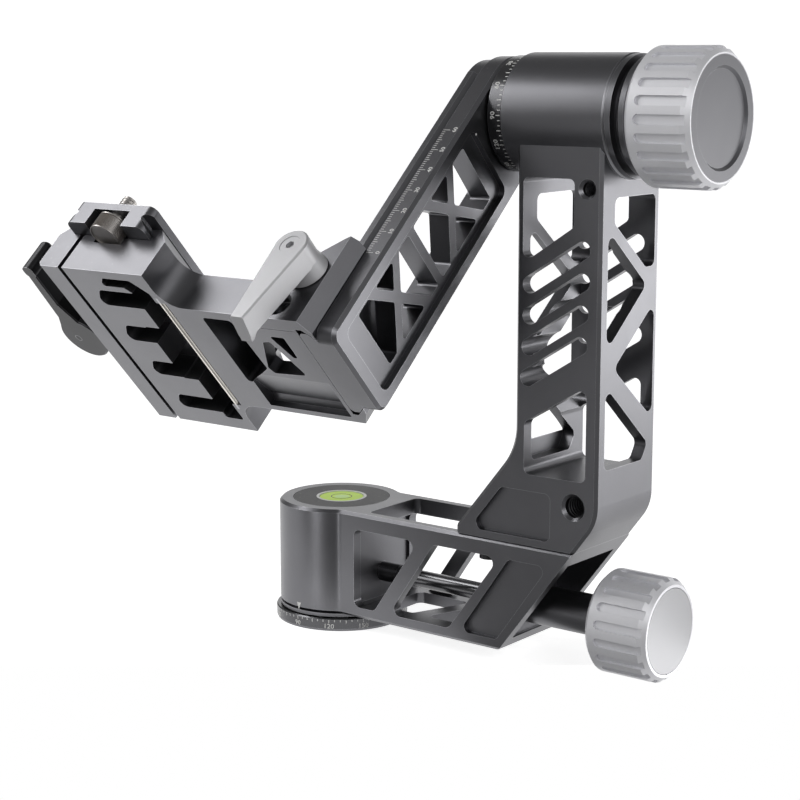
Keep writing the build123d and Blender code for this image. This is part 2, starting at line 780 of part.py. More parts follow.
# ---------------------------------------------------------------- carriage, neck and clamp body
rail_flank = swing_rail_x + rail_waist + part_gap * math.sqrt(2)
lip_tip_x = swing_rail_x - part_gap
carriage_back_x = swing_back_x - part_gap
relief_y = 22.8
seam_y = -21.3
cheek_inner_y = seam_y - part_gap
cheek_x = carriage_slope_foot - 0.5
carriage_nose = [(73.7, -90.7), (75.3, -89.3), (77.3, carriage_top), (lip_tip_x, carriage_top - 0.9)]
block_profile = [
    (carriage_slope_foot, deck_seat),
    *carriage_nose,
    (lip_tip_x, deck_bottom),
    (carriage_slope_foot, deck_bottom),
]
flank_foot = plate_bottom + 1.4
flank_height = 3.1
lip_foot = flank_foot + plate_gap * (math.sqrt(2) - 1)
lip_reach = plate_half_width + plate_gap - 2.82
lip_edge = lip_foot + 2.82

first_notch = [(3.0, -40.0), (-9.0, -40.0), (-12.6, -35.6), (3.0, -35.6)]
notches = [
    (-33.0, -24.5, -15.8, -21.4),
    (-13.5, -4.7, -16.3, -21.6),
    (6.8, 15.0, -16.8, -21.6),
    (26.6, 34.6, -16.5, -21.4),
]
comb_depth = 10.5
neck_pocket = [(29.3, -23.6), (43.0, -23.6), (44.5, 2.0), (29.3, 13.0)]
neck_pocket_depth = 12.0
small_window = [(57.1, -17.3), (63.9, -17.3), (63.9, -6.4), (61.9, -6.4)]
large_window = [(51.8, -13.4), (55.5, -14.2), (62.4, 3.2), (46.8, 4.2), (45.2, 1.4), (47.3, -3.4)]
upper_pocket = [(50.5, -8.0), (56.0, 5.0), (39.5, 22.8), (30.5, 22.8), (33.0, 14.0)]
upper_pocket_floor = -122.5
scoop_depth = 3.6
stud_radius = 2.5
dowel_radius = 1.5
dowel_spots = [(69.6, -99.5), (55.8, -123.0)]
rod_x = 12.4
rod_radius_small = 1.3
rod_z = deck_bottom + rod_radius_small
rod_groove = (-29.0, 28.0)
guide_pin_radius = 2.0
guide_pin_spots = [-31.0, 38.0]

with BuildPart() as carriage:
    # clamp floor, neck and carriage sole in one outline
    with BuildSketch(deck_plane(deck_bottom)):
        with BuildLine():
            Polyline(
                (clamp_slit_x, -clamp_half_length),
                (clamp_right_x, -clamp_half_length),
                (clamp_right_x, -deck_half_width),
                (cheek_x - part_gap, -deck_half_width),
                (cheek_x - part_gap, seam_y),
                (carriage_back_x, seam_y),
                (carriage_back_x, deck_half_width),
                (clamp_right_x, deck_half_width),
                (clamp_right_x, clamp_half_length),
                (clamp_slit_x, clamp_half_length),
                close=True,
            )
        make_face()
    extrude(amount=deck_seat - deck_bottom)
    inner_corners = [
        edge
        for edge in carriage.edges()
        if abs(edge.center().X - clamp_right_x) < 0.1
        and abs(abs((edge.center() - swing_origin).dot(swing_y)) - deck_half_width) < 0.1
        and edge.length > 10
    ]
    fillet(inner_corners, 9.0)
    # clamp lip along the fixed side
    with BuildSketch(front_plane(clamp_half_length)):
        with BuildLine():
            Polyline(
                (clamp_center_x + plate_half_width + plate_gap, deck_seat),
                (clamp_center_x + plate_half_width + plate_gap, lip_foot),
                (clamp_center_x + lip_reach, lip_edge),
                (clamp_center_x + lip_reach + 0.5, lip_top),
                (clamp_right_x - 4.8, lip_top),
                (clamp_right_x, deck_seat),
                close=True,
            )
        make_face()
    extrude(amount=2 * clamp_half_length)
    # block that stands behind the swing arm, with one fixed lip round its rail
    with BuildSketch(front_plane(deck_half_width)):
        with BuildLine():
            Polyline(*block_profile, close=True)
        make_face()
    extrude(amount=deck_half_width - seam_y)
    with BuildSketch(deck_plane(deck_bottom - 1)):
        with BuildLine():
            Polyline(
                (carriage_back_x, seam_y - 10),
                (carriage_back_x, relief_y),
                (rail_flank - relief_y, relief_y),
                (lip_tip_x + 1, rail_flank - lip_tip_x - 1),
                (lip_tip_x + 1, seam_y - 10),
                close=True,
            )
        make_face()
        with BuildLine():
            Polyline((75.6, deck_half_width + 1), (75.6, deck_half_width), (79.0, 21.4), (80.0, 19.6),
                     (80.0, deck_half_width + 1), close=True)
        make_face()
    extrude(amount=60, mode=Mode.SUBTRACT)
    # channel in the seat for the camera screw's head
    with BuildSketch(deck_plane(channel_floor)):
        with Locations((clamp_center_x, 0)):
            Rectangle(14.4, 2 * clamp_half_length + 2)
    extrude(amount=10, mode=Mode.SUBTRACT)
    # comb-shaped pocket in the underside
    with BuildSketch(deck_plane(deck_bottom)):
        rounded([(-5.5, -40.0), (4.6, -40.0), (10.6, -33.6), (10.6, 37.6), (1.5, 37.6), (1.5, -33.0)], 1.4)
        rounded([(-6.0, -14.0), (5.0, -14.0), (5.0, 15.4), (-6.0, 15.4)], 1.0)
        rounded(first_notch, 1.4)
        for low_y, high_y, near_tip, far_tip in notches:
            rounded([(7.0, low_y), (near_tip, low_y), (far_tip, high_y), (7.0, high_y)], 2.8)
    extrude(amount=comb_depth, mode=Mode.SUBTRACT)
    # groove and sockets of the steel rod
    with BuildSketch(deck_plane(deck_bottom)):
        with Locations((rod_x + 0.4, sum(rod_groove) / 2)):
            Rectangle(5.2, rod_groove[1] - rod_groove[0])
    extrude(amount=4.2, mode=Mode.SUBTRACT)
    with BuildSketch(front_plane(rod_groove[1] + 2.5)):
        with Locations((rod_x, rod_z)):
            Circle(rod_radius_small)
    extrude(amount=rod_groove[1] - rod_groove[0] + 5, mode=Mode.SUBTRACT)
    # pockets and windows of the neck, and the shallow scoop along the sole's back edge
    with BuildSketch(deck_plane(deck_bottom)):
        rounded(neck_pocket, 1.6)
    extrude(amount=neck_pocket_depth, mode=Mode.SUBTRACT)
    with BuildSketch(deck_plane(deck_bottom)):
        rounded(small_window, 0.9)
        rounded(large_window, 1.2)
    extrude(amount=upper_pocket_floor - deck_bottom + 0.2, mode=Mode.SUBTRACT)
    with BuildSketch(deck_plane(upper_pocket_floor)):
        rounded(upper_pocket, 2.0)
    extrude(amount=deck_seat - upper_pocket_floor + 0.5, mode=Mode.SUBTRACT)
    with BuildSketch(side_plane(32.0)):
        with BuildLine():
            Polyline(
                (6.0, deck_bottom - 1),
                (6.0, deck_bottom),
                (21.5, deck_bottom + scoop_depth),
                (24.8, deck_bottom + scoop_depth - 1),
                (24.8, deck_bottom - 1),
                close=True,
            )
        make_face()
    extrude(amount=38.6, mode=Mode.SUBTRACT)
    # bores for the draw rod, the guide pins, the lever stud and the dowels
    with BuildSketch(side_plane(clamp_slit_x)):
        with Locations((cam_y, cam_z)):
            Circle(2.0)
    extrude(amount=20.0, mode=Mode.SUBTRACT)
    with BuildSketch(side_plane(clamp_slit_x)):
        for spot in guide_pin_spots:
            with Locations((spot, cam_z)):
                Circle(guide_pin_radius)
    extrude(amount=5.0, mode=Mode.SUBTRACT)
    with BuildSketch(front_plane(-7.0)):
        with Locations((height_lever_x, height_lever_z)):
            Circle(stud_radius + running_clearance)
    extrude(amount=20, mode=Mode.SUBTRACT)
    with BuildSketch(front_plane(seam_y + 3.4)):
        with Locations(*dowel_spots):
            Circle(dowel_radius)
    extrude(amount=5, mode=Mode.SUBTRACT)
save(carriage.part, "carriage")

with BuildPart() as carriage_cheek:
    with BuildSketch(deck_plane(deck_bottom)):
        with BuildLine():
            Polyline(
                (cheek_x, cheek_inner_y),
                (carriage_back_x, cheek_inner_y),
                (carriage_back_x, -relief_y),
                (rail_flank - relief_y, -relief_y),
                (lip_tip_x, lip_tip_x - rail_flank),
                (lip_tip_x, -21.4),
                (75.6, -deck_half_width),
                (cheek_x, -deck_half_width),
                close=True,
            )
        make_face()
    extrude(amount=carriage_top - deck_bottom)
    with BuildSketch(front_plane(0)):
        with BuildLine():
            Polyline(
                (cheek_x - 1, deck_seat),
                (carriage_slope_foot, deck_seat),
                *carriage_nose,
                (lip_tip_x + 2, carriage_top + 2),
                (cheek_x - 1, carriage_top + 2),
                close=True,
            )
        make_face()
    extrude(amount=40, mode=Mode.SUBTRACT)
    with BuildSketch(front_plane(-deck_half_width + 5.0)):
        with Locations(cheek_thread):
            Circle(three_eighths_radius)
    extrude(amount=10, mode=Mode.SUBTRACT)
    with BuildSketch(front_plane(-deck_half_width + 1.0)):
        with Locations(cheek_thread):
            Circle(three_eighths_radius)
    with BuildSketch(front_plane(-deck_half_width - 0.1)):
        with Locations(cheek_thread):
            Circle(three_eighths_radius + 1.1)
    loft(mode=Mode.SUBTRACT)
    with BuildSketch(front_plane(0)):
        with Locations((height_lever_x, height_lever_z)):
            Circle(stud_radius + running_clearance)
    extrude(amount=40, mode=Mode.SUBTRACT)
    with BuildSketch(front_plane(cheek_inner_y + 1)):
        with Locations(*dowel_spots):
            Circle(dowel_radius + running_clearance)
    extrude(amount=5, mode=Mode.SUBTRACT)
save(carriage_cheek.part, "carriage_cheek")

with BuildPart() as carriage_dowels:
    with BuildSketch(front_plane(seam_y + 3.3)):
        with Locations(*dowel_spots):
            Circle(dowel_radius - 0.01)
    extrude(amount=6.6)
save(carriage_dowels.part, "carriage_dowels")

with BuildPart() as clamp_rod:
    with BuildSketch(front_plane(rod_groove[1] + 2.4)):
        with Locations((rod_x, rod_z)):
            Circle(rod_radius_small - 0.01)
    extrude(amount=rod_groove[1] - rod_groove[0] + 4.8)
save(clamp_rod.part, "clamp_rod")

# ---------------------------------------------------------------- height lock lever
hub_base_y = -deck_half_width - 0.4
lever_depth = 8.6
lever_back_y = lever_hub_face_y + lever_depth
lever_tip_left_x = 61.4
lever_tip_right_x = 66.6
lever_tip_z = -139.4
lever_heel_y = -30.6
with BuildPart() as height_lever:
    # deep tapering arm, in one with the hub's face
    with BuildSketch(front_plane(lever_back_y)):
        with Locations((height_lever_x, height_lever_z)):
            Circle(6.9)
        with BuildLine():
            Polyline(
                (height_lever_x - 6.7, height_lever_z - 1.6),
                (height_lever_x + 6.7, height_lever_z - 1.6),
                (lever_tip_right_x, lever_tip_z - 3.0),
                (lever_tip_left_x, lever_tip_z - 3.0),
                close=True,
            )
        make_face()
    extrude(amount=lever_depth)
    front_face = height_lever.faces().sort_by(lambda face: (face.center() - swing_origin).dot(swing_y))[0]
    chamfer(front_face.outer_wire().edges(), 0.6)
    # heel behind the tip, then the slanted end
    with BuildSketch(side_plane(lever_tip_left_x + 0.2)):
        with BuildLine():
            Polyline(
                (lever_back_y - 1, lever_tip_z + 6.0),
                (lever_back_y, lever_tip_z + 5.0),
                (lever_heel_y, lever_tip_z - 0.4),
                (lever_heel_y, lever_tip_z - 3.0),
                (lever_back_y - 1, lever_tip_z - 3.0),
                close=True,
            )
        make_face()
    extrude(amount=lever_tip_right_x - lever_tip_left_x - 0.4)
    with BuildSketch(side_plane(lever_tip_left_x - 5)):
        with BuildLine():
            Polyline(
                (lever_hub_face_y - 1, lever_tip_z),
                (lever_heel_y + 1, lever_tip_z - 2.2),
                (lever_heel_y + 1, lever_tip_z - 8.0),
                (lever_hub_face_y - 1, lever_tip_z - 8.0),
                close=True,
            )
        make_face()
    extrude(amount=16, mode=Mode.SUBTRACT)
    # conical hub
    with BuildSketch(front_plane(hub_base_y)):
        with Locations((height_lever_x, height_lever_z)):
            Circle(8.0)
    with BuildSketch(front_plane(lever_back_y - 0.5)):
        with Locations((height_lever_x, height_lever_z)):
            Circle(6.9)
    loft()
    with BuildSketch(front_plane(0)):
        with Locations((height_lever_x, height_lever_z)):
            Circle(stud_radius)
    extrude(amount=60, mode=Mode.SUBTRACT)
    with BuildSketch(front_plane(lever_hub_face_y + 2.6)):
        with Locations((height_lever_x, height_lever_z)):
            Circle(3.9)
    extrude(amount=5, mode=Mode.SUBTRACT)
save(height_lever.part, "height_lever")

with BuildPart() as height_lever_screw:
    with BuildSketch(front_plane(lever_hub_face_y + 2.6)):
        with Locations((height_lever_x, height_lever_z)):
            Circle(3.85)
    extrude(amount=2.4)
    with BuildSketch(front_plane(lever_hub_face_y + 1.8)):
        with Locations((height_lever_x, height_lever_z)):
            RegularPolygon(1.5, 6, major_radius=False)
    extrude(amount=3, mode=Mode.SUBTRACT)
save(height_lever_screw.part, "height_lever_screw")

with BuildPart() as height_lever_stud:
    with BuildSketch(front_plane(-8.0)):
        with Locations((height_lever_x, height_lever_z)):
            Circle(stud_radius - 0.01)
    extrude(amount=-8.0 - lever_hub_face_y - 2.6)
save(height_lever_stud.part, "height_lever_stud")

# ---------------------------------------------------------------- clamp jaw and its cam lever
draw_rod_radius = 2.0
with BuildPart() as clamp_jaw:
    with BuildSketch(front_plane(clamp_half_length)):
        with BuildLine():
            Polyline(
                (clamp_left_x, deck_bottom + 1.6),
                (clamp_left_x + 1.6, deck_bottom),
                (clamp_jaw_x, deck_bottom),
                (clamp_jaw_x, deck_seat),
                (clamp_center_x - plate_half_width - plate_gap, deck_seat),
                (clamp_center_x - plate_half_width - plate_gap, lip_foot),
                (clamp_center_x - lip_reach, lip_edge),
                (clamp_center_x - lip_reach - 0.5, lip_top),
                (clamp_left_x + 5.2, lip_top),
                (clamp_left_x, lip_shoulder),
                close=True,
            )
        make_face()
    extrude(amount=2 * clamp_half_length)
    with BuildSketch(side_plane(clamp_left_x - 1)):
        with Locations((cam_y, cam_z)):
            Circle(draw_rod_radius + running_clearance)
    extrude(amount=clamp_jaw_x - clamp_left_x + 2, mode=Mode.SUBTRACT)
    with BuildSketch(side_plane(clamp_jaw_x)):
        for spot in guide_pin_spots:
            with Locations((spot, cam_z)):
                Circle(guide_pin_radius + running_clearance)
    extrude(amount=-7.0, mode=Mode.SUBTRACT)
save(clamp_jaw.part, "clamp_jaw")

with BuildPart() as clamp_guide_pins:
    with BuildSketch(side_plane(clamp_jaw_x - 3.6)):
        for spot in guide_pin_spots:
            with Locations((spot, cam_z)):
                Circle(guide_pin_radius - 0.01)
    extrude(amount=clamp_slit_x + 4.8 - clamp_jaw_x + 3.6)
save(clamp_guide_pins.part, "clamp_guide_pins")

eye_radius = 4.5
cam_pin_radius = 1.5
with BuildPart() as clamp_draw_rod:
    with BuildSketch(side_plane(clamp_left_x)):
        with Locations((cam_y, cam_z)):
            Circle(draw_rod_radius - 0.01)
    extrude(amount=clamp_slit_x + 19.6 - clamp_left_x)
    with BuildSketch(deck_plane(cam_z - 1.5)):
        with Locations((cam_pin_x, cam_y)):
            Circle(eye_radius)
            Rectangle(clamp_left_x + 1 - cam_pin_x, 2.6, align=(Align.MIN, Align.CENTER))
    extrude(amount=3.0)
    with BuildSketch(deck_plane(cam_z - 3)):
        with Locations((cam_pin_x, cam_y)):
            Circle(cam_pin_radius + running_clearance)
    extrude(amount=6, mode=Mode.SUBTRACT)
save(clamp_draw_rod.part, "clamp_draw_rod")

lever_low = -126.8
lever_high = -117.6
lever_tab_high = -112.8
lever_outline = [
    (-59.2, 0.0),
    (-59.2, -6.0),
    (-56.7, -11.0),
    (-54.5, -36.0),
    (-50.2, -36.0),
    (-50.8, -18.7),
    (-46.6, -7.2),
    (-46.6, 0.0),
]
with BuildPart() as clamp_lever:
    # cam disc and the arm that leaves it with a small step
    with BuildSketch(deck_plane(lever_low)):
        with Locations((cam_pin_x + cam_offset, cam_y)):
            Circle(cam_radius)
        with BuildLine():
            Polyline(*lever_outline, close=True)
        make_face()
    extrude(amount=lever_high - lever_low)
    sole = clamp_lever.faces().sort_by(lambda face: (face.center() - swing_origin).dot(swing_z))[0]
    chamfer(sole.outer_wire().edges(), 0.5)
    # round finger post at the end of the arm
    with BuildSketch(deck_plane(lever_low)):
        with Locations((-52.3, -36.6)):
            RectangleRounded(5.2, 5.6, 2.2)
    extrude(amount=lever_tab_high - lever_low)
    post_top = clamp_lever.faces().sort_by(lambda face: (face.center() - swing_origin).dot(swing_z))[-1]
    fillet(post_top.outer_wire().edges(), 1.4)
    # slot for the draw rod's eye, and the pin's bore
    with BuildSketch(deck_plane(cam_z - 1.7)):
        with Locations((cam_pin_x, cam_y - 5.5)):
            Rectangle(40, 30, align=(Align.CENTER, Align.MIN))
    extrude(amount=3.4, mode=Mode.SUBTRACT)
    with BuildSketch(deck_plane(lever_low - 1)):
        with Locations((cam_pin_x, cam_y)):
            Circle(cam_pin_radius)
    extrude(amount=12, mode=Mode.SUBTRACT)
save(clamp_lever.part, "clamp_lever")

with BuildPart() as clamp_lever_pin:
    with BuildSketch(deck_plane(lever_low)):
        with Locations((cam_pin_x, cam_y)):
            Circle(cam_pin_radius - 0.01)
    extrude(amount=lever_high - lever_low)
save(clamp_lever_pin.part, "clamp_lever_pin")

# ---------------------------------------------------------------- quick-release plate
with BuildPart() as quick_release_plate:
    with BuildSketch(front_plane(plate_half_length)):
        with BuildLine():
            right = [
                (9.2, plate_ceiling),
                (9.2, plate_bottom),
                (plate_half_width, plate_bottom),
                (plate_half_width, flank_foot),
                (plate_half_width - flank_height, flank_foot + flank_height),
                (plate_half_width - flank_height, flank_foot + flank_height + 1.0),
                (plate_half_width, flank_foot + flank_height + 2.8),
                (plate_half_width, plate_top),
            ]
            left = [(-across, height) for across, height in reversed(right)]
            Polyline(*[(clamp_center_x + across, height) for across, height in right + left], close=True)
        make_face()
    extrude(amount=2 * plate_half_length)
    plan_corners = [
        edge
        for edge in quick_release_plate.edges()
        if abs(abs((edge.center() - swing_origin).dot(swing_y)) - plate_half_length) < 0.1
        and abs(edge.center().X - clamp_center_x) > plate_half_width - 0.1
        and abs((edge.tangent_at(0.5)).dot(swing_z)) > 0.9
    ]
    fillet(plan_corners, 3.0)
    # long hole for the camera screw, and seats for the two pads
    with BuildSketch(deck_plane(plate_ceiling - 1)):
        with Locations((clamp_center_x, camera_screw_y)):
            Circle(3.25)
    extrude(amount=6, mode=Mode.SUBTRACT)
    with BuildSketch(deck_plane(plate_top)):
        for across in (-12.0, 12.0):
            with Locations((clamp_center_x + across, 0)):
                RectangleRounded(6.0, 84.0, 2.0)
    extrude(amount=-0.9, mode=Mode.SUBTRACT)
save(quick_release_plate.part, "quick_release_plate")

with BuildPart() as plate_pads:
    with BuildSketch(deck_plane(plate_top - 0.9)):
        for across in (-12.0, 12.0):
            with Locations((clamp_center_x + across, 0)):
                RectangleRounded(5.9, 83.9, 1.95)
    extrude(amount=1.2)
save(plate_pads.part, "plate_pads")

camera_head_bottom = -114.7
with BuildPart() as camera_screw:
    with BuildSketch(deck_plane(camera_head_bottom)):
        with Locations((clamp_center_x, camera_screw_y)):
            Circle(6.1)
    extrude(amount=7.0)
    chamfer(camera_screw.edges().filter_by(GeomType.CIRCLE), 0.5)
    with BuildSketch(deck_plane(camera_head_bottom + 7.0)):
        with Locations((clamp_center_x, camera_screw_y)):
            Circle(4.6)
    extrude(amount=plate_ceiling - 0.1 - camera_head_bottom - 7.0)
    with BuildSketch(deck_plane(camera_head_bottom + 6.0)):
        with Locations((clamp_center_x, camera_screw_y)):
            Circle(2.6)
    extrude(amount=plate_top - camera_head_bottom - 6.0)
    with BuildSketch(deck_plane(plate_top)):
        with Locations((clamp_center_x, camera_screw_y)):
            Circle(3.17)
    extrude(amount=5.5)
save(camera_screw.part, "camera_screw")
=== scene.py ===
import json
import math

import bpy
from bpy.props import FloatProperty, FloatVectorProperty, PointerProperty
from mathutils import Matrix, Vector


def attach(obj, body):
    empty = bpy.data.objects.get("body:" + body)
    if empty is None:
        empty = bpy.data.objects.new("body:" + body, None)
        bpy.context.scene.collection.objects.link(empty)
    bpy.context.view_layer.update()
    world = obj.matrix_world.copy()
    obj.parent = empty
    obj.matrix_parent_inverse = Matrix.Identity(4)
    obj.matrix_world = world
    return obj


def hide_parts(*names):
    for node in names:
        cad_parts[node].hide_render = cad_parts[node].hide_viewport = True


bl_info = {
    "name": "Gimbal tripod head finishes",
    "version": (1, 0, 0),
    "blender": (4, 5, 0),
    "location": "View3D > Sidebar > Gimbal head",
    "description": "Metal finishes, engraved scales, threads and a plain studio for a gimbal tripod head",
    "category": "Object",
}

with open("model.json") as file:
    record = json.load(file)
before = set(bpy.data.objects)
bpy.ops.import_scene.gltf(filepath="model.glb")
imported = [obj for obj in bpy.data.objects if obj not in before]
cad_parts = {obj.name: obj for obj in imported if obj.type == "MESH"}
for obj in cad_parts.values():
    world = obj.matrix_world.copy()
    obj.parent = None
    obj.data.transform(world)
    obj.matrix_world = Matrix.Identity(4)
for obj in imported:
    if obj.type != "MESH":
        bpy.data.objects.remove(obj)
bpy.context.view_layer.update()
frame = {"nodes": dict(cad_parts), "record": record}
MM = 0.001
UP = (0, 0, 1)
ALONG_X = (1, 0, 0)

# Shades and textures that every finish shares.
DUST = (0.5, 0.48, 0.45)
BLAST_GRAIN = 4200.0

# The swing parts turn about the tilt axis; these are their directions in the rest position.
REST_TILT = math.radians(47.65)
TILT_AXIS_HEIGHT = 208.1
SWING_BACK = Vector((0, math.cos(REST_TILT), -math.sin(REST_TILT)))
SWING_UP = Vector((0, math.sin(REST_TILT), math.cos(REST_TILT)))


def swing_point(x, back, up):
    """A point of the swing parts, given in millimetres from the tilt axis."""
    return Vector((x, 0, TILT_AXIS_HEIGHT)) + SWING_BACK * back + SWING_UP * up


def facing(point, right, up):
    """The placing matrix, in metres, of something flat that lies at a point given in millimetres."""
    right = Vector(right).normalized()
    out = right.cross(Vector(up)).normalized()
    up = out.cross(right)
    turn = Matrix((right, up, out)).transposed().to_4x4()
    return Matrix.Translation(Vector(point) * MM) @ turn


# ---------------------------------------------------------------- settings a user would change
def colour(name, description, value):
    """A colour setting."""
    return FloatVectorProperty(
        name=name, description=description, default=value, subtype="COLOR", size=3, min=0, max=1
    )


def length(name, description, value):
    """A length setting, given in millimetres."""
    return FloatProperty(
        name=name, description=description, default=value * MM, unit="LENGTH", min=0, precision=5
    )


class GimbalFinishSettings(bpy.types.PropertyGroup):
    """Colours of the metals and paints."""

    anodised: colour("Anodised grey", "Dark anodised aluminium of the arms", (0.16, 0.16, 0.17))
    ring: colour("Scale ring black", "Turned rings with the degree scales", (0.1, 0.1, 0.105))
    knob: colour("Knob silver", "Pale anodised aluminium of the knobs", (0.78, 0.78, 0.81))
    pale_cap: colour("Pale cap", "Flat cap in the face of the small knob", (0.4, 0.4, 0.415))
    cap: colour("Knob cap", "Dished cap in the face of the large knob", (0.11, 0.11, 0.12))
    cover: colour("Round cover", "Matt black cover with the bubble level", (0.06, 0.06, 0.062))
    polished: colour("Polished black", "Lock rod inside the arm", (0.13, 0.13, 0.135))
    lever: colour("Lever grey", "Clamping lever of the jaw", (0.035, 0.035, 0.037))
    handle: colour("Handle silver", "Lever of the height clamp", (0.5, 0.5, 0.515))
    steel: colour("Bright steel", "Rods, pins and screws", (0.7, 0.67, 0.62))
    blackened: colour("Blackened steel", "Hidden screws and the pressure collar", (0.03, 0.03, 0.032))
    bronze: colour("Bronze", "Brake shoe", (0.52, 0.33, 0.16))
    rubber: colour("Pad rubber", "Strips on the plate", (0.025, 0.025, 0.026))
    spirit: colour("Level fluid", "Fluid of the bubble level", (0.64, 0.94, 0.13))
    # Pale edge colour: partly bare metal, partly a painted highlight along every edge.
    worn: colour("Worn and highlit edge", "Bare metal and painted highlight along the edges", (0.62, 0.62, 0.65))
    level_rim: colour("Level cup", "Cup of the bubble level", (0.62, 0.62, 0.6))
    bubble: colour("Bubble", "Bubble of the level", (0.62, 0.88, 0.3))
    paint: colour("Scale paint", "White marks and numbers", (0.82, 0.82, 0.8))


class GimbalMarkSettings(bpy.types.PropertyGroup):
    """Sizes of the scales and threads."""

    paint_depth: length("Paint depth", "How far a painted mark stands proud", 0.025)
    tick_width: length("Tick width", "Width of a degree mark", 0.34)
    digit_height: length("Digit height", "Height of the degree numbers", 1.9)
    height_digit: length("Height digit", "Height of the height scale's numbers", 1.7)
    # The pale edges are partly bare metal and partly a painted highlight.
    edge_radius: length("Edge radius", "Radius of the worn edges", 0.35)


def brightness(name, description, value):
    """A brightness setting."""
    return FloatProperty(name=name, description=description, default=value, min=0, subtype="UNSIGNED")


class GimbalStudioSettings(bpy.types.PropertyGroup):
    """Levels of the studio."""

    key_light: brightness("Key light", "Large soft light above on the left", 3.0)
    side_light: brightness("Side light", "Large soft light to the right", 3.2)
    fill_light: brightness("Fill light", "Soft light in front on the right", 3.6)
    strip_light: brightness("Strip light", "Narrow upright light in front", 8.0)
    clamp_light: brightness("Clamp light", "Small near light over the clamp", 5.0)
    screen: brightness("Screen", "Brightness of the grey screen in front", 0.22)
    room: brightness("Room", "Light that the room throws on matt surfaces", 0.35)


# ---------------------------------------------------------------- modelling helpers
def select_only(piece):
    """Selects the piece alone and makes it active."""
    bpy.ops.object.select_all(action="DESELECT")
    piece.select_set(True)
    bpy.context.view_layer.objects.active = piece


def settle(piece):
    """Puts the piece's place into its mesh."""
    select_only(piece)
    bpy.ops.object.transform_apply(location=True, rotation=True, scale=True)


def copy_to(piece, matrix):
    """A copy with its own mesh, placed by a matrix."""
    copy = piece.copy()
    copy.data = piece.data.copy()
    copy.data.transform(matrix)
    bpy.context.scene.collection.objects.link(copy)
    return copy


def joined(name, pieces):
    """One object from several, named and clean."""
    bpy.ops.object.select_all(action="DESELECT")
    for piece in pieces:
        piece.select_set(True)
    bpy.context.view_layer.objects.active = pieces[0]
    if len(pieces) > 1:
        bpy.ops.object.join()
    piece = bpy.context.view_layer.objects.active
    piece.name = name
    piece.data.name = name
    settle(piece)
    return piece


def clean_up(piece):
    """Closes seams and turns the faces outwards."""
    select_only(piece)
    bpy.ops.object.mode_set(mode="EDIT")
    bpy.ops.mesh.select_all(action="SELECT")
    bpy.ops.mesh.remove_doubles(threshold=1e-7)
    bpy.ops.mesh.normals_make_consistent(inside=False)
    bpy.ops.object.mode_set(mode="OBJECT")


def discard(pieces):
    """Removes the patterns that copies were made from."""
    for piece in pieces:
        bpy.data.objects.remove(piece)


def tick(tall, wide):
    """A painted line that stands up from its lower end, with softened top edges."""
    depth = bpy.context.scene.gimbal_marks.paint_depth
    softening = depth * 0.6
    bpy.ops.object.select_all(action="DESELECT")
    bpy.ops.mesh.primitive_cube_add(size=1, location=(0, tall / 2, 0), scale=(wide, tall, depth * 2))
    line = bpy.context.view_layer.objects.active
    settle(line)
    bpy.ops.object.mode_set(mode="EDIT")
    bpy.ops.mesh.select_all(action="SELECT")
    bpy.ops.mesh.bevel(offset=softening, segments=1)
    bpy.ops.object.mode_set(mode="OBJECT")
    return line


def digits(tall):
    """The ten digits as flat raised shapes, each centred on its own foot."""
    depth = bpy.context.scene.gimbal_marks.paint_depth
    drawn_depth = 0.01
    boldness = 0.012
    widening = 1.08
    shapes = {}
    for character in "0123456789":
        bpy.ops.object.select_all(action="DESELECT")
        bpy.ops.object.text_add()
        text = bpy.context.view_layer.objects.active
        text.data.body = character
        text.data.align_x = "CENTER"
        text.data.resolution_u = 3
        text.data.extrude = drawn_depth
        text.data.offset = boldness
        bpy.ops.object.convert(target="MESH")
        shape = bpy.context.view_layer.objects.active
        low = min(v.co.y for v in shape.data.vertices)
        high = max(v.co.y for v in shape.data.vertices)
        size = tall / (high - low)
        shape.data.transform(Matrix.Translation((0, -low, 0)))
        shape.data.transform(Matrix.Diagonal((size * widening, size, depth / drawn_depth, 1)))
        clean_up(shape)
        shapes[character] = shape
    return shapes


def number(value, shapes, place):
    """Copies of a number's digits, each placed by its distance from the middle, in digits."""
    text = str(value)
    return [
        copy_to(shapes[character], place(index - (len(text) - 1) / 2))
        for index, character in enumerate(text)
    ]


def ridge(radius, pitch, turns, inward):
    """A helical thread ridge along +Z on a wall of that radius, starting at Z = 0."""
    lean = -math.pi / 2 if inward else math.pi / 2
    bite = pitch * 0.2
    flattening = 0.75
    bpy.ops.object.select_all(action="DESELECT")
    bpy.ops.mesh.primitive_circle_add(
        vertices=3, radius=pitch / 2, fill_type="NGON", location=(0, 0, 0), rotation=(math.pi / 2, lean, 0)
    )
    thread = bpy.context.view_layer.objects.active
    settle(thread)
    thread.data.transform(Matrix.Diagonal((flattening, 1, 1, 1)))
    thread.data.transform(Matrix.Translation((radius + bite if inward else radius - bite, 0, 0)))
    bpy.ops.object.mode_set(mode="EDIT")
    bpy.ops.mesh.select_all(action="SELECT")
    bpy.ops.mesh.delete(type="ONLY_FACE")
    bpy.ops.object.mode_set(mode="OBJECT")
    winding = thread.modifiers.new("Winding", "SCREW")
    winding.angle = math.tau
    winding.steps = 40
    winding.render_steps = 40
    winding.screw_offset = pitch
    winding.iterations = turns
    bpy.ops.object.modifier_apply(modifier=winding.name)
    bpy.ops.object.mode_set(mode="EDIT")
    bpy.ops.mesh.select_all(action="SELECT")
    bpy.ops.mesh.fill_holes(sides=4)
    bpy.ops.object.mode_set(mode="OBJECT")
    clean_up(thread)
    return thread


# ---------------------------------------------------------------- shader helpers
def shader_node(tree, kind, place, inputs=None, **settings):
    """A node at a place in the editor, counted in node widths and heights."""
    made = tree.nodes.new(kind)
    made.location = (place[0] * 200, place[1] * -180)
    for key, value in settings.items():
        setattr(made, key, value)
    for key, value in (inputs or {}).items():
        made.inputs[key].default_value = value
    return made


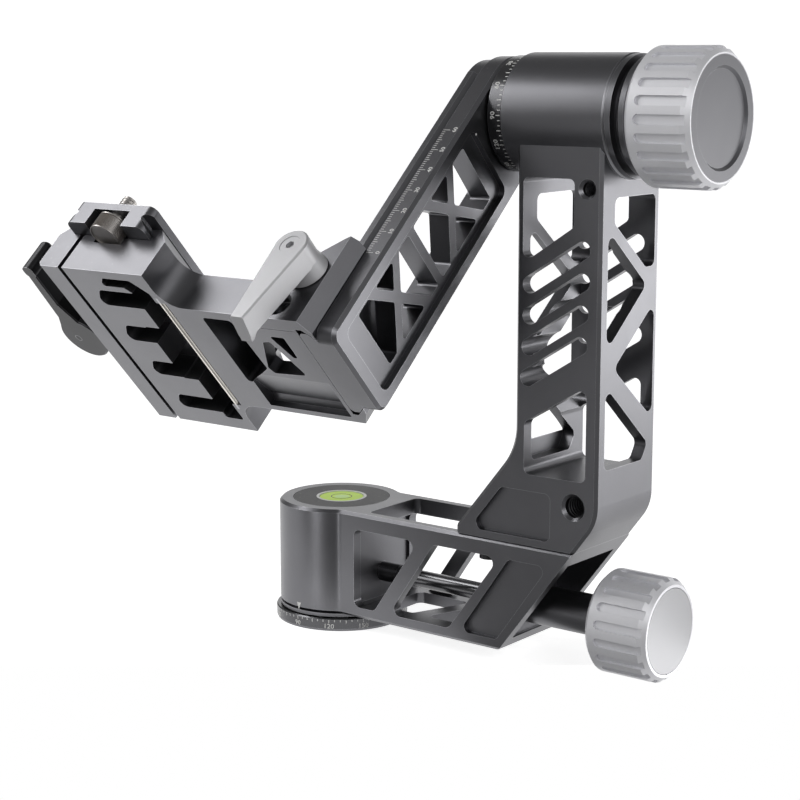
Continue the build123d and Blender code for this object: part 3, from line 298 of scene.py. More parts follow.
def new_group(name, inputs, outputs):
    """An empty shader node group with its sockets, and its two end nodes."""
    group = bpy.data.node_groups.new(name, "ShaderNodeTree")
    for label, kind, value in inputs:
        socket = group.interface.new_socket(label, in_out="INPUT", socket_type=kind)
        if value is not None:
            socket.default_value = value
    for label, kind in outputs:
        group.interface.new_socket(label, in_out="OUTPUT", socket_type=kind)
    start = group.nodes.new("NodeGroupInput")
    start.location = (-800, 0)
    end = group.nodes.new("NodeGroupOutput")
    end.location = (1400, 0)
    return group, start, end


def edge_wear_group():
    """Mask of the edges, where the finish is thin; the pale colour laid there is bare metal and also a
    painted highlight.
    """
    group, start, end = new_group(
        "Edge wear",
        [("Radius", "NodeSocketFloat", 0.0004), ("Spread", "NodeSocketFloat", 0.12)],
        [("Mask", "NodeSocketFloat")],
    )
    link = group.links.new
    soft = shader_node(group, "ShaderNodeBevel", (-2, 0), samples=6)
    link(start.outputs["Radius"], soft.inputs["Radius"])
    true = shader_node(group, "ShaderNodeNewGeometry", (-2, 1))
    agree = shader_node(group, "ShaderNodeVectorMath", (-1, 0), operation="DOT_PRODUCT")
    link(soft.outputs["Normal"], agree.inputs[0])
    link(true.outputs["Normal"], agree.inputs[1])
    turned = shader_node(group, "ShaderNodeMath", (0, 0), operation="SUBTRACT")
    turned.inputs[0].default_value = 1
    link(agree.outputs["Value"], turned.inputs[1])
    place = shader_node(group, "ShaderNodeTexCoord", (-2, 2))
    uneven = shader_node(group, "ShaderNodeTexNoise", (-1, 2), {"Scale": 420, "Detail": 3})
    link(place.outputs["Object"], uneven.inputs["Vector"])
    amount = shader_node(group, "ShaderNodeMapRange", (0, 2), {"To Min": 0.6, "To Max": 1.3})
    link(uneven.outputs["Fac"], amount.inputs["Value"])
    share = shader_node(group, "ShaderNodeMapRange", (1, 0), {"From Min": 0.01})
    link(turned.outputs["Value"], share.inputs["Value"])
    link(start.outputs["Spread"], share.inputs["From Max"])
    mask = shader_node(group, "ShaderNodeMath", (2, 0), operation="MULTIPLY", use_clamp=True)
    link(share.outputs["Result"], mask.inputs[0])
    link(amount.outputs["Result"], mask.inputs[1])
    link(mask.outputs["Value"], end.inputs["Mask"])
    return group


def bead_blast_group():
    """Fine matt grain of blasted and anodised metal, with a faint cloudiness."""
    group, start, end = new_group(
        "Bead blast",
        [("Grain", "NodeSocketFloat", BLAST_GRAIN), ("Clouds", "NodeSocketFloat", 90.0)],
        [("Height", "NodeSocketFloat"), ("Tone", "NodeSocketFloat")],
    )
    link = group.links.new
    place = shader_node(group, "ShaderNodeTexCoord", (-2, 0))
    fine = shader_node(group, "ShaderNodeTexNoise", (-1, 0), {"Detail": 4, "Roughness": 0.65})
    link(place.outputs["Object"], fine.inputs["Vector"])
    link(start.outputs["Grain"], fine.inputs["Scale"])
    pits = shader_node(group, "ShaderNodeTexVoronoi", (-1, 1), {"Randomness": 1.0})
    link(place.outputs["Object"], pits.inputs["Vector"])
    link(start.outputs["Grain"], pits.inputs["Scale"])
    height = shader_node(group, "ShaderNodeMath", (0, 0), operation="MULTIPLY_ADD")
    height.inputs[1].default_value = 0.5
    link(pits.outputs["Distance"], height.inputs[0])
    link(fine.outputs["Fac"], height.inputs[2])
    link(height.outputs["Value"], end.inputs["Height"])
    clouds = shader_node(group, "ShaderNodeTexNoise", (-1, 2), {"Detail": 5, "Roughness": 0.6})
    link(place.outputs["Object"], clouds.inputs["Vector"])
    link(start.outputs["Clouds"], clouds.inputs["Scale"])
    both = shader_node(group, "ShaderNodeMix", (0, 2), {"Factor": 0.35})
    link(clouds.outputs["Fac"], both.inputs["A"])
    link(fine.outputs["Fac"], both.inputs["B"])
    link(both.outputs["Result"], end.inputs["Tone"])
    return group


def turned_rings_group():
    """Rings that a lathe leaves on a face, round the Z axis of the given coordinates."""
    group, start, end = new_group(
        "Turned rings",
        [("Vector", "NodeSocketVector", None), ("Pitch", "NodeSocketFloat", 0.0004)],
        [("Height", "NodeSocketFloat"), ("Tone", "NodeSocketFloat")],
    )
    link = group.links.new
    flat = shader_node(group, "ShaderNodeVectorMath", (-2, 0), operation="MULTIPLY")
    flat.inputs[1].default_value = (1, 1, 0)
    link(start.outputs["Vector"], flat.inputs[0])
    distance = shader_node(group, "ShaderNodeVectorMath", (-1, 0), operation="LENGTH")
    link(flat.outputs["Vector"], distance.inputs[0])
    turns = shader_node(group, "ShaderNodeMath", (0, 0), operation="DIVIDE")
    link(distance.outputs["Value"], turns.inputs[0])
    link(start.outputs["Pitch"], turns.inputs[1])
    coarse = {"Scale": 1, "Detail": 3}
    across = shader_node(group, "ShaderNodeTexNoise", (1, 0), coarse, noise_dimensions="1D")
    link(turns.outputs["Value"], across.inputs["W"])
    wave = shader_node(group, "ShaderNodeMath", (1, 1), operation="SINE")
    link(turns.outputs["Value"], wave.inputs[0])
    height = shader_node(group, "ShaderNodeMath", (2, 0), operation="MULTIPLY_ADD")
    height.inputs[1].default_value = 0.2
    link(wave.outputs["Value"], height.inputs[0])
    link(across.outputs["Fac"], height.inputs[2])
    link(height.outputs["Value"], end.inputs["Height"])
    link(across.outputs["Fac"], end.inputs["Tone"])
    return group


def handling_group():
    """Faint touches and dust: a roughness change everywhere and a mask on upward faces."""
    group, start, end = new_group(
        "Handling",
        [("Size", "NodeSocketFloat", 35.0)],
        [("Touch", "NodeSocketFloat"), ("Dust", "NodeSocketFloat")],
    )
    link = group.links.new
    place = shader_node(group, "ShaderNodeTexCoord", (-2, 0))
    touch = shader_node(group, "ShaderNodeTexNoise", (-1, 0), {"Detail": 6, "Distortion": 0.6})
    link(place.outputs["Object"], touch.inputs["Vector"])
    link(start.outputs["Size"], touch.inputs["Scale"])
    link(touch.outputs["Fac"], end.inputs["Touch"])
    specks = shader_node(group, "ShaderNodeTexNoise", (-1, 1), {"Scale": 900, "Detail": 2})
    link(place.outputs["Object"], specks.inputs["Vector"])
    sparse = shader_node(group, "ShaderNodeMapRange", (0, 1), {"From Min": 0.66, "From Max": 0.8})
    link(specks.outputs["Fac"], sparse.inputs["Value"])
    normal = shader_node(group, "ShaderNodeNewGeometry", (-1, 2))
    parts = shader_node(group, "ShaderNodeSeparateXYZ", (0, 2))
    link(normal.outputs["Normal"], parts.inputs["Vector"])
    upward = shader_node(group, "ShaderNodeMapRange", (1, 2), {"From Min": 0.6, "To Max": 0.5})
    link(parts.outputs["Z"], upward.inputs["Value"])
    dust = shader_node(group, "ShaderNodeMath", (2, 1), operation="MULTIPLY")
    link(sparse.outputs["Result"], dust.inputs[0])
    link(upward.outputs["Result"], dust.inputs[1])
    link(dust.outputs["Value"], end.inputs["Dust"])
    return group


def mixed(tree, place, first, second, amount):
    """A colour between two; each may be a socket or a plain colour."""
    mix = shader_node(tree, "ShaderNodeMix", place, data_type="RGBA")
    for socket, value in ((mix.inputs[6], first), (mix.inputs[7], second), (mix.inputs[0], amount)):
        if isinstance(value, bpy.types.NodeSocket):
            tree.links.new(value, socket)
        else:
            socket.default_value = value if isinstance(value, float) else (*value, 1)
    return mix.outputs[2]


def new_material(name, metallic, specular=0.5):
    """A material with one Principled shader, its tree and that shader."""
    material = bpy.data.materials.new(name)
    material.use_nodes = True
    tree = material.node_tree
    tree.nodes.clear()
    surface = shader_node(tree, "ShaderNodeBsdfPrincipled", (6, 0))
    surface.inputs["Metallic"].default_value = metallic
    surface.inputs["Specular IOR Level"].default_value = specular
    out = shader_node(tree, "ShaderNodeOutputMaterial", (8, 0))
    tree.links.new(surface.outputs["BSDF"], out.inputs["Surface"])
    return material, tree, surface


def placed_group(tree, group, place, **values):
    """A node of one of the shared groups, with its inputs set by name."""
    made = shader_node(tree, "ShaderNodeGroup", place)
    made.node_tree = bpy.data.node_groups[group]
    for key, value in values.items():
        made.inputs[key].default_value = value
    return made


def between(tree, place, value, low, high):
    """A value from 0 to 1 spread over a range."""
    spread = shader_node(tree, "ShaderNodeMapRange", place, {"To Min": low, "To Max": high})
    tree.links.new(value, spread.inputs["Value"])
    return spread.outputs["Result"]


def varied(tree, base, contrast, tone):
    """The base colour, made lighter and darker by a tone."""
    darker = tuple(c * (1 - contrast) for c in base)
    lighter = tuple(min(c * (1 + contrast), 1.0) for c in base)
    return mixed(tree, (2, 0), darker, lighter, tone)


def worn_edges(tree, shade, wear_and_highlight):
    """A colour with bare metal and a painted highlight along the edges."""
    settings = bpy.context.scene
    edge = placed_group(tree, "Edge wear", (0, 4), Radius=settings.gimbal_marks.edge_radius)
    amount = between(tree, (2, 3), edge.outputs["Mask"], 0.0, wear_and_highlight)
    # The pale colour along every edge is partly bare metal and partly a painted highlight.
    return mixed(tree, (3, 0), shade, tuple(settings.gimbal_finish.worn), amount)


def touched(tree, surface, rough, less, more):
    """A roughness that touches change; gives the group's node, which also has the dust."""
    touch = placed_group(tree, "Handling", (0, 2))
    uneven = between(tree, (2, 2), touch.outputs["Touch"], rough - less, rough + more)
    tree.links.new(uneven, surface.inputs["Roughness"])
    return touch


def raised(tree, surface, height, strength, relief):
    """A bump from a pattern's height, its relief in millimetres."""
    bump = shader_node(tree, "ShaderNodeBump", (5, 3), {"Strength": strength, "Distance": relief * MM})
    tree.links.new(height, bump.inputs["Height"])
    tree.links.new(bump.outputs["Normal"], surface.inputs["Normal"])


def blasted_metal(name, base, rough, metallic=0.9, wear_and_highlight=0.5):
    """Blasted and anodised metal with edges painted bright as wear and highlight, faint clouds and touches.
    """
    material, tree, surface = new_material(name, metallic)
    blast = placed_group(tree, "Bead blast", (0, 0), Grain=BLAST_GRAIN)
    touch = touched(tree, surface, rough, 0.06, 0.06)
    shade = worn_edges(tree, varied(tree, base, 0.1, blast.outputs["Tone"]), wear_and_highlight)
    tree.links.new(mixed(tree, (4, 0), shade, DUST, touch.outputs["Dust"]), surface.inputs["Base Color"])
    raised(tree, surface, blast.outputs["Height"], strength=0.6, relief=0.008)
    return material


def turned_metal(name, base, rough, centre, turn, pitch, metallic=0.95, relief=0.01):
    """Metal with the rings of a lathe about an axis through a point."""
    material, tree, surface = new_material(name, metallic)
    place = shader_node(tree, "ShaderNodeTexCoord", (-3, 0))
    axis = shader_node(tree, "ShaderNodeMapping", (-2, 0), vector_type="TEXTURE")
    axis.inputs["Location"].default_value = Vector(centre) * MM
    axis.inputs["Rotation"].default_value = turn
    tree.links.new(place.outputs["Object"], axis.inputs["Vector"])
    rings = placed_group(tree, "Turned rings", (0, 0), Pitch=pitch * MM)
    tree.links.new(axis.outputs["Vector"], rings.inputs["Vector"])
    touched(tree, surface, rough, 0.05, 0.07)
    shade = worn_edges(tree, varied(tree, base, 0.12, rings.outputs["Tone"]), 0.4)
    tree.links.new(shade, surface.inputs["Base Color"])
    raised(tree, surface, rings.outputs["Height"], strength=0.5, relief=relief)
    return material


def moulded(name, base, rough, grain, relief, specular=0.4):
    """Rubber, plastic or paint: a matt grain with small changes of shade."""
    material, tree, surface = new_material(name, 0.0, specular)
    blast = placed_group(tree, "Bead blast", (0, 0), Grain=grain)
    touch = touched(tree, surface, rough, 0.08, 0.08)
    shade = varied(tree, base, 0.14, blast.outputs["Tone"])
    tree.links.new(mixed(tree, (3, 0), shade, DUST, touch.outputs["Dust"]), surface.inputs["Base Color"])
    raised(tree, surface, blast.outputs["Height"], strength=0.7, relief=relief)
    return material


# ---------------------------------------------------------------- operators
class GIMBAL_OT_finishes(bpy.types.Operator):
    """Make the metals and paints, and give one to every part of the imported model"""

    bl_idname = "gimbal.finishes"
    bl_label = "Finishes"

    def execute(self, context):
        finish = context.scene.gimbal_finish
        for make in (edge_wear_group, bead_blast_group, turned_rings_group, handling_group):
            make()
        across = (0, math.pi / 2, 0)
        upright = (0, 0, 0)
        tilt_centre = (0, 0, TILT_AXIS_HEIGHT)
        pan_knob_centre = (0, 0, 21.6)
        pale_face = {"metallic": 0.3, "relief": 0.003}
        dark_face = {"metallic": 0.5, "relief": 0.003}
        materials = {
            "anodised_dark": blasted_metal("anodised_dark", finish.anodised, 0.36, metallic=1.0),
            "scale_black": turned_metal("scale_black", finish.ring, 0.24, upright, upright, 0.16),
            "knob_silver": blasted_metal("knob_silver", finish.knob, 0.45, metallic=0.3, wear_and_highlight=0.2),
            "knob_face_pale": turned_metal(
                "knob_face_pale", finish.pale_cap, 0.42, pan_knob_centre, across, 0.12, **pale_face
            ),
            "knob_face_dark": turned_metal(
                "knob_face_dark", finish.cap, 0.36, tilt_centre, across, 0.12, **dark_face
            ),
            "lever_black": blasted_metal("lever_black", finish.lever, 0.36),
            "steel": turned_metal("steel", finish.steel, 0.26, tilt_centre, across, 0.1),
            "screw_steel": blasted_metal("screw_steel", finish.steel, 0.34, metallic=0.7),
            "screw_black": blasted_metal("screw_black", finish.blackened, 0.42, metallic=0.7),
            "bearing_steel": turned_metal("bearing_steel", finish.steel, 0.18, upright, upright, 0.2),
            "bronze": blasted_metal("bronze", finish.bronze, 0.36, metallic=1.0),
            "level_rim": moulded("level_rim", finish.level_rim, 0.35, 3000.0, 0.004),
            "level_green": moulded("level_green", finish.spirit, 0.4, 600.0, 0.0005, specular=0.12),
            "pad_rubber": moulded("pad_rubber", finish.rubber, 0.75, 2600.0, 0.03),
        }
        for part in frame["record"]["subparts"]:
            node = frame["nodes"][part["node"]]
            node.data.materials.clear()
            node.data.materials.append(materials[part["material_slot"]])
        handle = blasted_metal("handle_silver", finish.handle, 0.42, metallic=0.3, wear_and_highlight=0.3)
        rod = turned_metal("lock_rod_black", finish.polished, 0.2, pan_knob_centre, across, 0.1)
        finer = {
            "pan_cap": blasted_metal("cover_black", finish.cover, 0.5, metallic=0.8, wear_and_highlight=0.3),
            "pan_lock_rod": rod,
            "clamp_lever_pin": materials["screw_black"],
            "height_lever": handle,
            "height_lever_screw": handle,
        }
        for name, material in finer.items():
            frame["nodes"][name].data.materials[0] = material
        moulded("scale_paint", finish.paint, 0.55, 3200.0, 0.004)
        return {"FINISHED"}


def painted(piece, body):
    """Gives a mark its paint and the body that it moves with."""
    piece.data.materials.clear()
    piece.data.materials.append(bpy.data.materials["scale_paint"])
    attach(piece, body)


def ring_place(angle, radius, height):
    """A place on an upright ring, seen from outside: right goes round it and up is +Z."""
    turn = math.radians(angle)
    out = Vector((math.cos(turn), math.sin(turn), 0))
    return out * radius + Vector((0, 0, height)), Vector((0, 0, 1)).cross(out)


class GIMBAL_OT_pan_scale(bpy.types.Operator):
    """Add the degree marks and numbers of the pan ring"""

    bl_idname = "gimbal.pan_scale"
    bl_label = "Pan scale"

    RADIUS = 27.2
    TURNED_BY = -181.8
    TICKS_TOP = 4.7
    SHORT, LONG = 0.85, 1.35
    DIGITS_FOOT = 1.15
    DIGIT_STEP = 1.5

    def place(self, angle, height):
        """A place on the ring, seen from outside."""
        point, right = ring_place(angle + self.TURNED_BY, self.RADIUS, height)
        return facing(point, right, UP)

    def execute(self, context):
        marks = context.scene.gimbal_marks
        lines = {tall: tick(tall * MM, marks.tick_width) for tall in (self.SHORT, self.LONG)}
        shapes = digits(marks.digit_height)
        pieces = []
        for value in range(0, 360, 5):
            tall = self.SHORT if value % 15 else self.LONG
            pieces.append(copy_to(lines[tall], self.place(value, self.TICKS_TOP - tall)))
        step = math.degrees(self.DIGIT_STEP / self.RADIUS)
        for value in range(0, 360, 30):
            pieces += number(value, shapes, lambda shift: self.place(value + shift * step, self.DIGITS_FOOT))
        discard((*lines.values(), *shapes.values()))
        painted(joined("pan_scale_marks", pieces), "tripod_side")
        return {"FINISHED"}


class GIMBAL_OT_pan_pointer(bpy.types.Operator):
    """Add the white triangle that points at the pan scale"""

    bl_idname = "gimbal.pan_pointer"
    bl_label = "Pan pointer"

    ANGLE = -93.9
    HOUSING_RADIUS = 25.5
    HEIGHT = 8.8
    DEPTH = 0.05
    HALF_WIDTH, HALF_HEIGHT = 1.25, 2.1

    def execute(self, context):
        bpy.ops.object.select_all(action="DESELECT")
        bpy.ops.mesh.primitive_cylinder_add(
            vertices=3, radius=1.0 * MM, depth=self.DEPTH * MM, rotation=(0, 0, math.pi)
        )
        pointer = context.view_layer.objects.active
        settle(pointer)
        pointer.data.transform(Matrix.Diagonal((self.HALF_WIDTH, self.HALF_HEIGHT, 1, 1)))
        bpy.ops.object.mode_set(mode="EDIT")
        bpy.ops.mesh.select_all(action="SELECT")
        bpy.ops.mesh.bevel(offset=self.DEPTH * MM / 5, segments=1)
        bpy.ops.object.mode_set(mode="OBJECT")
        point, right = ring_place(self.ANGLE, self.HOUSING_RADIUS, self.HEIGHT)
        pointer.data.transform(facing(point, right, UP))
        painted(joined("pan_pointer", [pointer]), "pan_arm")
        return {"FINISHED"}


class GIMBAL_OT_tilt_scale(bpy.types.Operator):
    """Add the degree marks and numbers of the tilt ring"""

    bl_idname = "gimbal.tilt_scale"
    bl_label = "Tilt scale"

    RADIUS = 21.4
    TICKS_FOOT = 93.3
    SHORT, LONG = 1.1, 1.8
    DIGITS_FOOT = 91.0
    DIGIT_STEP = 1.5

    def place(self, angle, x):
        """A place on the ring; its numbers read upwards and stand away from the barrel."""
        turn = math.radians(90 + angle)
        out = Vector((0, math.cos(turn), math.sin(turn)))
        around = Vector(ALONG_X).cross(out)
        point = out * self.RADIUS + Vector((x, 0, TILT_AXIS_HEIGHT))
        return facing(point, -around, -Vector(ALONG_X))

    def execute(self, context):
        marks = context.scene.gimbal_marks
        lines = {tall: tick(tall * MM, marks.tick_width) for tall in (self.SHORT, self.LONG)}
        shapes = digits(marks.digit_height)
        pieces = []
        for value in range(0, 360, 5):
            tall = self.SHORT if value % 15 else self.LONG
            pieces.append(copy_to(lines[tall], self.place(value, self.TICKS_FOOT)))
        step = math.degrees(self.DIGIT_STEP / self.RADIUS)
        for value in range(0, 360, 30):
            pieces += number(value, shapes, lambda shift: self.place(value - shift * step, self.DIGITS_FOOT))
        discard((*lines.values(), *shapes.values()))
        painted(joined("tilt_scale_marks", pieces), "pan_arm")
        return {"FINISHED"}


class GIMBAL_OT_height_scale(bpy.types.Operator):
    """Add the millimetre marks and numbers on the front edge of the swing arm"""

    bl_idname = "gimbal.height_scale"
    bl_label = "Height scale"

    FRONT = -21.0
    ZERO = -90.4
    TICKS_FOOT = 79.6
    TICK_WIDTH = 0.2
    SHORT, MIDDLE, LONG = 1.3, 2.0, 2.9
    DIGITS_FOOT = 85.3
    DIGITS_ABOVE_TICK = 0.2
    DIGIT_STEP = 1.25

    def digit_place(self, value, shift):
        """A digit's place beside its mark; the numbers read up the arm."""
        up = self.ZERO + value + self.DIGITS_ABOVE_TICK + shift * self.DIGIT_STEP
        return facing(swing_point(self.DIGITS_FOOT, self.FRONT, up), SWING_UP, -Vector(ALONG_X))

    def execute(self, context):
        marks = context.scene.gimbal_marks
        lines = {
            tall: tick(tall * MM, self.TICK_WIDTH * MM) for tall in (self.SHORT, self.MIDDLE, self.LONG)
        }
        shapes = digits(marks.height_digit)
        pieces = []
        for value in range(0, 61):
            tall = self.LONG if value % 10 == 0 else self.MIDDLE if value % 5 == 0 else self.SHORT
            point = swing_point(self.TICKS_FOOT, self.FRONT, self.ZERO + value)
            pieces.append(copy_to(lines[tall], facing(point, -SWING_UP, ALONG_X)))
        for value in range(0, 61, 10):
            pieces += number(value, shapes, lambda shift: self.digit_place(value, shift))
        discard((*lines.values(), *shapes.values()))
        painted(joined("height_scale_marks", pieces), "swing")
        return {"FINISHED"}


class GIMBAL_OT_threads(bpy.types.Operator):
    """Add the thread ridges of the threaded holes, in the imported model's own materials"""

    bl_idname = "gimbal.threads"
    bl_label = "Threads"

    QUARTER = (2.6, 1.27)
    THREE_EIGHTHS = (4.0, 1.59)
    TRIPOD = (3.97, 1.59)

    def execute(self, context):
        column = (Vector((130.4, -18.9, 183.0)), UP)
        foot = (Vector((126.4, -18.9, 67.4)), UP)
        cheek = (swing_point(63.4, -26.4, -121.8), SWING_UP)
        base = (Vector((0, 0, 0.3)), (0, -1, 0))
        rows = (
            ("quarter_thread", "pan_arm", "anodised_dark", column, self.QUARTER, 5),
            ("three_eighths_thread", "pan_arm", "anodised_dark", foot, self.THREE_EIGHTHS, 6),
            ("cheek_thread_ridge", "height_cheek", "anodised_dark", cheek, self.THREE_EIGHTHS, 2),
            ("tripod_thread_ridge", "tripod_side", "screw_steel", base, self.TRIPOD, 7),
        )
        for name, body, material, (mouth, up), (radius, pitch), turns in rows:
            thread = ridge(radius * MM, pitch * MM, turns, inward=True)
            inner_end = Matrix.Translation((0, 0, -pitch * (turns + 1) * MM))
            thread.data.transform(facing(mouth, ALONG_X, up) @ inner_end)
            thread = joined(name, [thread])
            bpy.ops.object.shade_smooth_by_angle(angle=math.radians(40))
            thread.data.materials.append(bpy.data.materials[material])
            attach(thread, body)
        return {"FINISHED"}


class GIMBAL_OT_camera_screw(bpy.types.Operator):
    """Replace the plain camera screw with a grooved and threaded one"""

    bl_idname = "gimbal.camera_screw"
    bl_label = "Camera screw"

    # The screw stands along the swing parts' own up direction.
    MIDDLE = (-13.6, -46.2)
    HEAD_LOW, HEAD_HIGH, STUD_HIGH = -114.7, -107.7, -96.5
    HEAD_RADIUS = 6.1
    HEAD_FACETS = 72
    GROOVE_EVERY = 3
    GROOVE_DEPTH = 0.45
    RIM, RIM_DEPTH = 0.8, 0.5
    LEDGE, DISH_DEPTH = 1.6, 1.2
    STUD_RADIUS, PITCH, TURNS = 2.62, 1.27, 4
    THREAD_LENGTH = 6.0

    def cylinder(self, context, radius, low, high, vertices):
        """An upright cylinder between two heights."""
        bpy.ops.object.select_all(action="DESELECT")
        bpy.ops.mesh.primitive_cylinder_add(
            vertices=vertices,
            radius=radius * MM,
            depth=(high - low) * MM,
            location=(0, 0, (high + low) / 2 * MM),
        )
        made = context.view_layer.objects.active
        settle(made)
        return made

    def cut_grooves(self, head):
        """Sinks every third facet of the rim."""
        facet = 360 / self.HEAD_FACETS
        for face in head.data.polygons:
            turn = math.degrees(math.atan2(face.normal.y, face.normal.x)) % 360
            on_rim = abs(face.normal.z) < 0.1
            face.select = on_rim and int(turn // facet) % self.GROOVE_EVERY == 0
        bpy.ops.object.mode_set(mode="EDIT")
        bpy.ops.mesh.select_mode(type="FACE")
        bpy.ops.mesh.extrude_faces_move(TRANSFORM_OT_shrink_fatten={"value": -self.GROOVE_DEPTH * MM})
        bpy.ops.object.mode_set(mode="OBJECT")

    def dish(self, head):
        """Sinks the outer face in two steps."""
        for face in head.data.polygons:
            face.select = face.normal.z < -0.9 and face.center.z < (self.HEAD_LOW + 0.1) * MM
        bpy.ops.object.mode_set(mode="EDIT")
        for ledge, depth in ((self.RIM, self.RIM_DEPTH), (self.LEDGE, self.DISH_DEPTH)):
            bpy.ops.mesh.inset(thickness=ledge * MM)
            bpy.ops.mesh.extrude_region_move(TRANSFORM_OT_translate={"value": (0, 0, depth * MM)})
        bpy.ops.object.mode_set(mode="OBJECT")

    def execute(self, context):
        head = self.cylinder(context, self.HEAD_RADIUS, self.HEAD_LOW, self.HEAD_HIGH, self.HEAD_FACETS)
        self.cut_grooves(head)
        self.dish(head)
        stud = self.cylinder(context, self.STUD_RADIUS, self.HEAD_HIGH, self.STUD_HIGH, 40)
        thread = ridge(self.STUD_RADIUS * MM, self.PITCH * MM, self.TURNS, inward=False)
        thread.data.transform(Matrix.Translation((0, 0, (self.STUD_HIGH - self.THREAD_LENGTH) * MM)))
        screw = joined("camera_screw_detail", [head, stud, thread])
        screw.data.transform(facing(swing_point(*self.MIDDLE, 0), ALONG_X, SWING_BACK))
        bpy.ops.object.shade_smooth_by_angle(angle=math.radians(35))
        screw.data.materials.append(bpy.data.materials["screw_steel"])
        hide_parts("camera_screw")
        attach(screw, "camera_screw_body")
        return {"FINISHED"}


class GIMBAL_OT_level_bubble(bpy.types.Operator):
    """Add the bubble and the centring circle of the level"""

    bl_idname = "gimbal.level_bubble"
    bl_label = "Level bubble"

    VIAL_TOP = 49.8
    CIRCLE_RADIUS, CIRCLE_WIRE, CIRCLE_FLATNESS = 4.2, 0.16, 0.4
    BUBBLE_RADIUS, BUBBLE_FLATNESS = 3.2, 0.04
    BUBBLE_X, BUBBLE_Y = 0.6, -0.4
    BUBBLE_SINK = 0.02

    def execute(self, context):
        bpy.ops.object.select_all(action="DESELECT")
        bpy.ops.mesh.primitive_torus_add(
            major_radius=self.CIRCLE_RADIUS * MM,
            minor_radius=self.CIRCLE_WIRE * MM,
            major_segments=64,
            minor_segments=8,
        )
        circle = context.view_layer.objects.active
        circle.data.transform(
            Matrix.Translation((0, 0, self.VIAL_TOP * MM)) @ Matrix.Diagonal((1, 1, self.CIRCLE_FLATNESS, 1))
        )
        circle = joined("level_circle", [circle])
        bpy.ops.object.shade_smooth()
        circle.data.materials.append(bpy.data.materials["screw_black"])
        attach(circle, "pan_arm")
        bpy.ops.object.select_all(action="DESELECT")
        bpy.ops.mesh.primitive_uv_sphere_add(
            segments=40,
            ring_count=16,
            radius=self.BUBBLE_RADIUS * MM,
            location=(self.BUBBLE_X * MM, self.BUBBLE_Y * MM, 0),
        )
        bubble = context.view_layer.objects.active
        settle(bubble)
        bubble.data.transform(
            Matrix.Translation((0, 0, (self.VIAL_TOP - self.BUBBLE_SINK) * MM))
            @ Matrix.Diagonal((1, 1, self.BUBBLE_FLATNESS, 1))
        )
        bubble = joined("level_bubble", [bubble])
        bpy.ops.object.shade_smooth()
        shade = context.scene.gimbal_finish.bubble
        bubble.data.materials.append(moulded("bubble", shade, 0.35, 600.0, 0.0005, specular=0.12))
        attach(bubble, "pan_arm")
        return {"FINISHED"}


class GIMBAL_OT_index_dot(bpy.types.Operator):
    """Add a white dot on the swing arm at the corner of the pocket: a painted glint"""

    bl_idname = "gimbal.index_dot"
    bl_label = "Painted glint"

    RADIUS = 0.42
    FLATNESS = 0.12
    PLACE = (87.0, -13.2, -24.5)

    def execute(self, context):
        bpy.ops.object.select_all(action="DESELECT")
        bpy.ops.mesh.primitive_uv_sphere_add(segments=16, ring_count=8, radius=self.RADIUS * MM)
        dot = context.view_layer.objects.active
        settle(dot)
        dot.data.transform(Matrix.Diagonal((1, 1, self.FLATNESS, 1)))
        dot.data.transform(facing(swing_point(*self.PLACE), SWING_BACK, SWING_UP))
        # The white dot is a painted glint at the pocket corner, given the scale paint.
        painted(joined("tilt_index_dot", [dot]), "swing")
        return {"FINISHED"}


